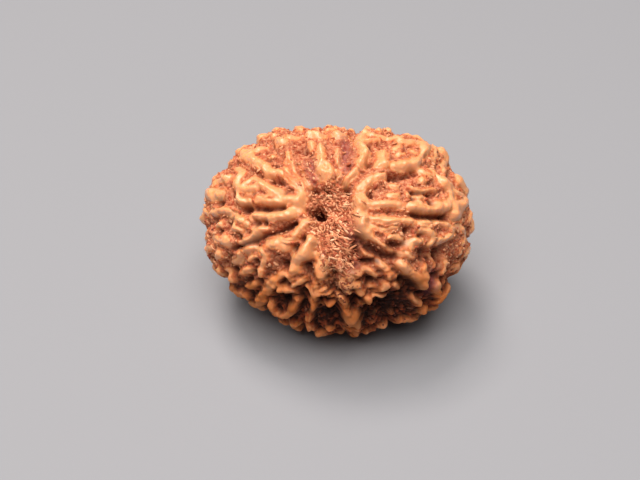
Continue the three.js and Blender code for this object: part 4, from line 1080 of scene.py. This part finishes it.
def strand_faces(many):
    """The triangles round each strand and over its two ends."""
    faces = []
    for n in range(many):
        first = n * STRAND_RINGS * STRAND_SIDES
        for ring in range(STRAND_RINGS - 1):
            for side in range(STRAND_SIDES):
                a = first + ring * STRAND_SIDES + side
                b = first + ring * STRAND_SIDES + (side + 1) % STRAND_SIDES
                faces += [[a, b, b + STRAND_SIDES], [a, b + STRAND_SIDES, a + STRAND_SIDES]]
        last = first + (STRAND_RINGS - 1) * STRAND_SIDES
        for side in range(1, STRAND_SIDES - 1):
            faces += [[first, first + side + 1, first + side], [last, last + side, last + side + 1]]
    return np.array(faces)


print("facets of one strand:", len(strand_faces(1)))

# %% Lay the fibres
CORE_LOW, CORE_HIGH = [-2.9, -6.0], [3.2, 4.4]  # seen places between which fibres are tried
STRAND_TRIES = 4800
STRANDS_KEPT = 0.24  # of those tried where the mat is thickest
STRANDS_ON_TRAIL, STRANDS_OFF_STAINS = 0.3, 0.6  # fewer on the trail, and fewer still on the stains
MAT_GAIN, MAT_EDGE_BARE = 1.2, 0.2  # the thin edge of the mat has none
CANAL_CLEARANCE = 0.9  # mm from the middle of the canal's mouth
STRAND_SLANT, STRAND_SLANT_SPREAD = -38, 28  # degrees in the picture
STRAND_LENGTHS, STRAND_WIDTHS, STRAND_LIFTS = (0.35, 1.1), (0.12, 0.24), (-0.1, 0.03)

tries = rng.uniform(CORE_LOW, CORE_HIGH, (STRAND_TRIES, 2))
on_skin = skin(seen_directions(tries))
on_mat = np.maximum(share_of(CORE_MAT, on_skin, FIRM_EDGE),
                    STRANDS_ON_TRAIL * share_of(CORE_TRAIL, on_skin, SOFT_EDGE))
on_stain = share_of(STAINS, on_skin, SOFT_EDGE)
on_mat = np.maximum(MAT_GAIN * on_mat - MAT_EDGE_BARE, 0) * (1 - STRANDS_OFF_STAINS * on_stain)
clear_of_canal = np.linalg.norm(tries - SEEN_CANAL, axis=1) > CANAL_CLEARANCE
starts = tries[(rng.random(len(tries)) < STRANDS_KEPT * on_mat) & clear_of_canal]
many = len(starts)
headings = rng.normal(STRAND_SLANT, STRAND_SLANT_SPREAD, many)
spans = [rng.uniform(*span, many) for span in (STRAND_LENGTHS, STRAND_WIDTHS, STRAND_LIFTS)]
verts, faces = strands(starts, headings, *spans)
fibres = mesh_piece("core_fibres", verts, faces)
store(fibres, "own", np.repeat(rng.random(many), STRAND_RINGS * STRAND_SIDES))
store(fibres, "upper", np.repeat(upper_share(skin(seen_directions(starts))), STRAND_RINGS * STRAND_SIDES))
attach(fibres, "root")
print("strands:", many, "facets:", len(faces))

# %% [markdown]
# ## Colours
# Colours are read as sRGB hex values, as a painter would note them, and turned to the linear values
# that the renderer mixes. One function adds a node with its settings, its links and the colours of its
# ramp, which keeps each material readable as a list. Patterns get their scale from a size in millimetres.

# %% Helpers for materials
def linear(hex_colour):
    """An sRGB colour as linear values."""
    parts = [int(hex_colour[i:i + 2], 16) / 255 for i in (1, 3, 5)]
    return tuple(p / 12.92 if p <= 0.04045 else ((p + 0.055) / 1.055) ** 2.4 for p in parts) + (1.0,)


def add_node(tree, kind, values=None, links=None, stops=None, **settings):
    """A node with its sockets' values, the (node, output) pairs that feed it, and a ramp's stops."""
    node = tree.nodes.new(kind)
    for name, value in settings.items():
        setattr(node, name, value)
    for name, value in (values or {}).items():
        node.inputs[name].default_value = value
    for name, (source, output) in (links or {}).items():
        tree.links.new(source.outputs[output], node.inputs[name])
    for i, (place, colour) in enumerate(stops or []):
        stop = node.color_ramp.elements[i] if i < 2 else node.color_ramp.elements.new(place)
        stop.position, stop.color = place, linear(colour)
    return node


def empty_material(name):
    material = bpy.data.materials.new(name)
    material.use_nodes = True
    material.node_tree.nodes.clear()
    return material, material.node_tree


def per_mm(size):
    """A texture scale for a pattern whose cells are this many millimetres across."""
    return 1 / (size * MM)


WOOD_IOR, OIL_IOR = 1.5, 1.48  # how strongly wood and oil bend light, as is typical for them
print("linear orange:", [round(part, 3) for part in linear("#D2722A")])

# %% [markdown]
# ## The woody shell
# A rudraksha's stone is hard wood that grew in crooked layers, and was rubbed with oil. The ridge tops
# are a warm orange tan and the valleys a dull, pinkish red-brown. A picture could be laid over the seed,
# but it would smear on the steep flanks. Colours that follow the stored shares fit every ridge. The
# wood has blotches as wide as a ridge, and grain of about 0.05 mm, which is too fine to show. It is drawn
# as specks of 0.3 mm.

# %% Oiled woody shell: patterns
BLOTCH_SIZE, AMBER_SIZE, SPECK_SIZE = 1.6, 2.6, 0.3  # mm

wood, tree = empty_material("oiled_woody_shell")
place = add_node(tree, "ShaderNodeTexCoord")
field = {name: add_node(tree, "ShaderNodeAttribute", attribute_name=name) for name in WOOD_SHARES}
blotch = add_node(tree, "ShaderNodeTexNoise", {"Scale": per_mm(BLOTCH_SIZE), "Detail": 4, "Roughness": 0.6},
                  {"Vector": (place, "Object")})
amber_blotch = add_node(tree, "ShaderNodeTexNoise", {"Scale": per_mm(AMBER_SIZE), "Detail": 2},
                        {"Vector": (place, "Object")})
speck = add_node(tree, "ShaderNodeTexNoise", {"Scale": per_mm(SPECK_SIZE), "Detail": 3, "Roughness": 0.65},
                 {"Vector": (place, "Object")})
print("stored shares read:", ", ".join(field))

# %% Oiled woody shell: tops, flanks and valleys
# The blotches break up the bands of colour, so that no two ridges look alike.
blotched = add_node(tree, "ShaderNodeMath", {1: 0.45}, {0: (blotch, "Fac"), 2: (field["crest"], "Fac")},
                    operation="MULTIPLY_ADD")
body = add_node(tree, "ShaderNodeValToRGB", links={"Fac": (blotched, 0)}, stops=[
    (0.15, "#983E25"), (1.0, "#E39B69"), (0.45, "#B65A35"), (0.7, "#C86E3C"), (0.88, "#D68049"),
])
# Oil that has soaked in leaves amber blotches, most of them on the lower half.
amber_lift = add_node(tree, "ShaderNodeMath", {1: -0.35},
                      {0: (field["upper"], "Fac"), 2: (amber_blotch, "Fac")}, operation="MULTIPLY_ADD")
amber_share = add_node(tree, "ShaderNodeMapRange", {"From Min": 0.3, "From Max": 0.6, "To Max": 0.75},
                       {"Value": (amber_lift, 0)})
amber = add_node(tree, "ShaderNodeMix", {7: linear("#D2722A")}, {0: (amber_share, 0), 6: (body, 0)},
                 data_type="RGBA")
# The unrubbed valleys show their specks, from red-brown to pale pulp.
specks = add_node(tree, "ShaderNodeValToRGB", links={"Fac": (speck, "Fac")},
                  stops=[(0.36, "#943D25"), (0.64, "#DE9E75")])
valley_only = add_node(tree, "ShaderNodeMapRange", {"From Min": 0.95, "From Max": 0.2, "To Max": 0.65},
                       {"Value": (field["crest"], "Fac")})
grained = add_node(tree, "ShaderNodeMix", links={0: (valley_only, 0), 6: (amber, 2), 7: (specks, 0)},
                   data_type="RGBA")
print("nodes so far:", len(tree.nodes))

# %% [markdown]
# ## Dirt, painted shade and stains
# Dark red dirt sits in every gap between the crumbs, with painted shade in the same recesses, less of both on
# the upper half, which was rubbed clean and gets less painted shade. The lower half is painted browner as
# shade, and its valleys are painted nearly black as shade, with a few brown crumbs left in them. Weak violet
# stains and the matted fibre of the sunken end come next, and the painted shade of the empty pits last,
# because nothing lies over them.

# %% Oiled woody shell: dirt and painted shade
# Dark red dirt and painted shade together in every recess between the crumbs, with less of both on the upper
# half
gap = add_node(tree, "ShaderNodeMapRange", {"From Min": 0.0, "From Max": 0.9, "To Max": 0.95},
               {"Value": (field["sunk"], "Fac")})
less_on_top = add_node(tree, "ShaderNodeMapRange", {"To Min": 1.0, "To Max": 0.55},
                   {"Value": (field["upper"], "Fac")})
dirt_and_shade = add_node(tree, "ShaderNodeMath", links={0: (gap, 0), 1: (less_on_top, 0)}, operation="MULTIPLY")
dirty_and_shaded = add_node(tree, "ShaderNodeMix", {7: linear("#521408")}, {0: (dirt_and_shade, 0), 6: (grained, 2)},
                 data_type="RGBA")
# Painted shade: the lower half is painted browner and darker, as the side turned away from the light
below = add_node(tree, "ShaderNodeMath", {0: 1.0}, {1: (field["upper"], "Fac")}, operation="SUBTRACT")
shade_below_share = add_node(tree, "ShaderNodeMath", {1: 0.3}, {0: (below, 0)}, operation="MULTIPLY")
shaded_below = add_node(tree, "ShaderNodeMix", {7: linear("#843E1A")}, {0: (shade_below_share, 0), 6: (dirty_and_shaded, 2)},
                   data_type="RGBA")
# Painted shade: the valleys of the lower half are painted nearly black, darker in the gaps between the crumbs
painted_shade = add_node(tree, "ShaderNodeMapRange", {"From Min": 0.8, "From Max": 0.2, "To Max": 0.95},
                 {"Value": (field["crest"], "Fac")})
painted_shade_below = add_node(tree, "ShaderNodeMath", links={0: (painted_shade, 0), 1: (below, 0)}, operation="MULTIPLY")
valley_shade_tones = add_node(tree, "ShaderNodeValToRGB", links={"Fac": (field["crumb"], "Fac")},
                 stops=[(0.1, "#140503"), (0.65, "#843A1E"), (0.35, "#301008")])
with_painted_shade = add_node(tree, "ShaderNodeMix", links={0: (painted_shade_below, 0), 6: (shaded_below, 2), 7: (valley_shade_tones, 0)},
                 data_type="RGBA")
print("nodes so far:", len(tree.nodes))

# %% Oiled woody shell: stains, matted fibre and painted shade in the pits
violet_share = add_node(tree, "ShaderNodeMath", links={0: (field["stain"], "Fac"), 1: (speck, "Fac")},
                        operation="MULTIPLY")
violet = add_node(tree, "ShaderNodeMix", {7: linear("#7A3E48")}, {0: (violet_share, 0), 6: (with_painted_shade, 2)},
                  data_type="RGBA")
fibre_share = add_node(tree, "ShaderNodeMath", {1: 0.6}, {0: (field["core"], "Fac")}, operation="MULTIPLY")
matted = add_node(tree, "ShaderNodeMix", {7: linear("#AC522E")}, {0: (fibre_share, 0), 6: (violet, 2)},
                  data_type="RGBA")
# Painted shade: pits and the canal's mouth are painted nearly black, darkest on the lower half and lighter
# towards the top
less_pit_shade_at_top = add_node(tree, "ShaderNodeMapRange", {"To Min": 1.0, "To Max": 0.4},
                         {"Value": (field["top"], "Fac")})
pit_shade_share = add_node(tree, "ShaderNodeMath", links={0: (field["hollow"], "Fac"), 1: (less_pit_shade_at_top, 0)},
                     operation="MULTIPLY")
pit_shade_tone = add_node(tree, "ShaderNodeMix", {6: linear("#140503"), 7: linear("#3C0D05")},
                    {0: (field["upper"], "Fac")}, data_type="RGBA")
with_pit_shade = add_node(tree, "ShaderNodeMix", links={0: (pit_shade_share, 0), 6: (matted, 2), 7: (pit_shade_tone, 2)},
                  data_type="RGBA")
print("nodes so far:", len(tree.nodes))

# %% [markdown]
# ## Oil and grain
# The oil is a thin clear film over the rubbed ridge tops, so it is a coat and not a shinier wood: soft
# glints on the tops, none in the valleys. Wood and oil both have an IOR of about 1.5. The film hides
# most of the wood's own gloss, so the specular level under it is low. Handling brings the roughness
# down from 0.8 to 0.4 and wears the grain's bumps flatter. Oily wood also lets a little light in, which
# reddens the edges of shadows.

# %% Oiled woody shell: gloss, grain and the finished shader
GRAIN_SIZE, GRAIN_DEPTH = 0.16, 0.1  # mm: real pores are finer, and would not show

rubbed_top = add_node(tree, "ShaderNodeMath", links={0: (field["crest"], "Fac"), 1: (field["upper"], "Fac")},
                      operation="MULTIPLY")
oil_film = add_node(tree, "ShaderNodeMapRange", {"From Min": 0.4, "From Max": 0.95, "To Max": 0.85},
                    {"Value": (rubbed_top, 0)})
roughness = add_node(tree, "ShaderNodeMapRange",
                     {"From Min": 0.2, "From Max": 0.9, "To Min": 0.8, "To Max": 0.4},
                     {"Value": (rubbed_top, 0)})
worn_grain = add_node(tree, "ShaderNodeMapRange",
                      {"From Min": 0.3, "From Max": 0.9, "To Min": 0.7, "To Max": 0.25},
                      {"Value": (field["crest"], "Fac")})
grain = add_node(tree, "ShaderNodeTexNoise", {"Scale": per_mm(GRAIN_SIZE), "Detail": 5, "Roughness": 0.7},
                 {"Vector": (place, "Object")})
bump = add_node(tree, "ShaderNodeBump", {"Distance": GRAIN_DEPTH * MM},
                {"Height": (grain, "Fac"), "Strength": (worn_grain, 0)})
shell = add_node(
    tree, "ShaderNodeBsdfPrincipled",
    {"IOR": WOOD_IOR, "Specular IOR Level": 0.15, "Coat Roughness": 0.3, "Coat IOR": OIL_IOR,
     "Subsurface Weight": 0.35, "Subsurface Radius": (1.0, 0.35, 0.15), "Subsurface Scale": 0.45 * MM},
    {"Base Color": (with_pit_shade, 2), "Roughness": (roughness, 0), "Normal": (bump, 0),
     "Coat Weight": (oil_film, 0), "Coat Normal": (bump, 0)})
add_node(tree, "ShaderNodeOutputMaterial", links={"Surface": (shell, 0)})
stone.data.materials.append(wood)
print("nodes in the shell's material:", len(tree.nodes))

# %% [markdown]
# ## Dry pulp and fibre
# The chips in the valleys and the strands in the sunken end are dried pulp and husk fibre, untouched by
# oil: pale straw to red-brown, matt, and each a little different. One colour for all would make them look
# like gravel. A number stored on each one picks its shade, so no two neighbours match, and those on the
# lower half are painted dark as shade.

# %% Dried pulp and husk fibre
STREAK_DEPTH = 0.05  # mm


def dry_material(name, shades, streak_size):
    """A matt plant material. Its real streaks are finer than the size, which is as fine as shows."""
    material, tree = empty_material(name)
    own = add_node(tree, "ShaderNodeAttribute", attribute_name="own")
    upper = add_node(tree, "ShaderNodeAttribute", attribute_name="upper")
    place = add_node(tree, "ShaderNodeTexCoord")
    streak = add_node(tree, "ShaderNodeTexNoise", {"Scale": per_mm(streak_size), "Detail": 3},
                      {"Vector": (place, "Object")})
    mottled = add_node(tree, "ShaderNodeMath", {1: 0.4}, {0: (streak, "Fac"), 2: (own, "Fac")},
                       operation="MULTIPLY_ADD")
    shade = add_node(tree, "ShaderNodeValToRGB", links={"Fac": (mottled, 0)}, stops=shades)
    # Painted shade: chips and strands on the lower half are painted darker
    painted_shade = add_node(tree, "ShaderNodeMapRange", {"To Min": 0.85, "To Max": 0.0}, {"Value": (upper, "Fac")})
    with_painted_shade = add_node(tree, "ShaderNodeMix", {7: linear("#4A1C10")}, {0: (painted_shade, 0), 6: (shade, 0)},
                     data_type="RGBA")
    bump = add_node(tree, "ShaderNodeBump", {"Strength": 0.5, "Distance": STREAK_DEPTH * MM},
                    {"Height": (streak, "Fac")})
    husk = add_node(tree, "ShaderNodeBsdfPrincipled",
                    {"Roughness": 0.65, "IOR": WOOD_IOR, "Specular IOR Level": 0.25},
                    {"Base Color": (with_painted_shade, 2), "Normal": (bump, 0)})
    add_node(tree, "ShaderNodeOutputMaterial", links={"Surface": (husk, 0)})
    return material


pulp = dry_material("dried_pulp", streak_size=0.2, shades=[
    (0.1, "#8E3C23"), (1.0, "#D8976E"), (0.45, "#AE5839"), (0.8, "#C47A54"),
])
fibre = dry_material("dry_husk_fibre", streak_size=0.15, shades=[
    (0.1, "#762F1B"), (1.0, "#E8B088"), (0.5, "#B46240"), (0.85, "#D89468"),
])
for piece, material in ((chips, pulp), (grit, pulp), (core_crumbs, pulp), (fibres, fibre)):
    piece.data.materials.append(material)
    print(piece.name, "is", material.name)

# %% [markdown]
# ## The table
# The seed lies on a plain pale table. A glossy one would mirror it. Matt paper throws a little light back
# into the lower valleys and shows a soft shadow, which tells the eye that the seed rests on it.

# %% Matt pale paper
TABLE_HALF = 900  # mm, wide enough to fill the picture
TABLE_CORNERS = TABLE_HALF * np.array([[-1, -1, 0], [1, -1, 0], [1, 1, 0], [-1, 1, 0]])

table = mesh_piece("table", TABLE_CORNERS, np.array([[0, 1, 2, 3]]), smooth=False)
paper = bpy.data.materials.new("matt_pale_paper")
paper.use_nodes = True
paper_shader = paper.node_tree.nodes["Principled BSDF"]
paper_shader.inputs["Base Color"].default_value = linear("#8A8A8E")
paper_shader.inputs["Roughness"].default_value = 0.8
table.data.materials.append(paper)
print("table, mm:", 2 * TABLE_HALF)

# %% [markdown]
# ## Light
# The main light is wide and soft, above the seed and a little in front. It gives the soft dark shadow
# under the seed and keeps the ridges readable from every side. A smaller one behind it, like a window,
# brightens the upper rim, and a weak wide one in front fills the shadows. They hang far away, so that
# the table is lit evenly. The plain view transform keeps the saturated orange that a small camera shows.

# %% Lights, room and view transform
ROOM_STRENGTH = 0.035
SEED_MIDDLE = Vector(MOVE * MM)


def soft_light(name, place, size, watts, tint):
    lamp = bpy.data.lights.new(name, "AREA")
    lamp.size, lamp.energy, lamp.color = size * MM, watts, linear(tint)[:3]
    holder = bpy.data.objects.new(name, lamp)
    holder.location = Vector(place) * MM
    holder.rotation_euler = (SEED_MIDDLE - holder.location).to_track_quat("-Z", "Y").to_euler()
    bpy.context.scene.collection.objects.link(holder)


soft_light("overhead", (-40, -160, 580), 480, 6.1, "#FFFCF8")
soft_light("window", (-120, 160, 560), 200, 2.3, "#FFF8F2")
soft_light("fill", (-240, -520, 440), 560, 0.2, "#F4F6FF")
world = bpy.data.worlds.new("room")
world.use_nodes = True
background = world.node_tree.nodes["Background"]
background.inputs["Color"].default_value = linear("#C8CAD0")
background.inputs["Strength"].default_value = ROOM_STRENGTH
bpy.context.scene.world = world
print("view transform was:", bpy.context.scene.view_settings.view_transform)
bpy.context.scene.view_settings.view_transform = "Standard"

# %% [markdown]
# ## The camera
# The camera looks down at the seed from as near as a small camera would stand. Its angle and distance
# are the ones that the ridges were laid from, so the ridges land where they were seen. The lens comes
# from the focal length in pixels, and the shift puts the seed's middle where it sits in the picture.

# %% The camera at the front
PICTURE_WIDTH, PICTURE_HEIGHT = 640, 480
FOCAL_PIXELS = 1046.7
MIDDLE_PIXEL = (336, 232)  # where the seed's middle is in the picture
SENSOR_WIDTH = 36  # mm
CLIP_START = 0.005  # m

camera = bpy.data.cameras.new("front")
camera.sensor_width = SENSOR_WIDTH
camera.lens = SENSOR_WIDTH * FOCAL_PIXELS / PICTURE_WIDTH
camera.shift_x = -(MIDDLE_PIXEL[0] - PICTURE_WIDTH / 2) / PICTURE_WIDTH
camera.shift_y = (MIDDLE_PIXEL[1] - PICTURE_HEIGHT / 2) / PICTURE_WIDTH
camera.clip_start = CLIP_START
viewer = bpy.data.objects.new("front", camera)
viewer.location = SEED_MIDDLE + Vector(TO_EYE * EYE_DISTANCE * MM)
viewer.rotation_euler = Vector(-TO_EYE).to_track_quat("-Z", "Y").to_euler()
bpy.context.scene.collection.objects.link(viewer)
bpy.context.scene.camera = viewer
print("lens, mm:", round(camera.lens, 1))
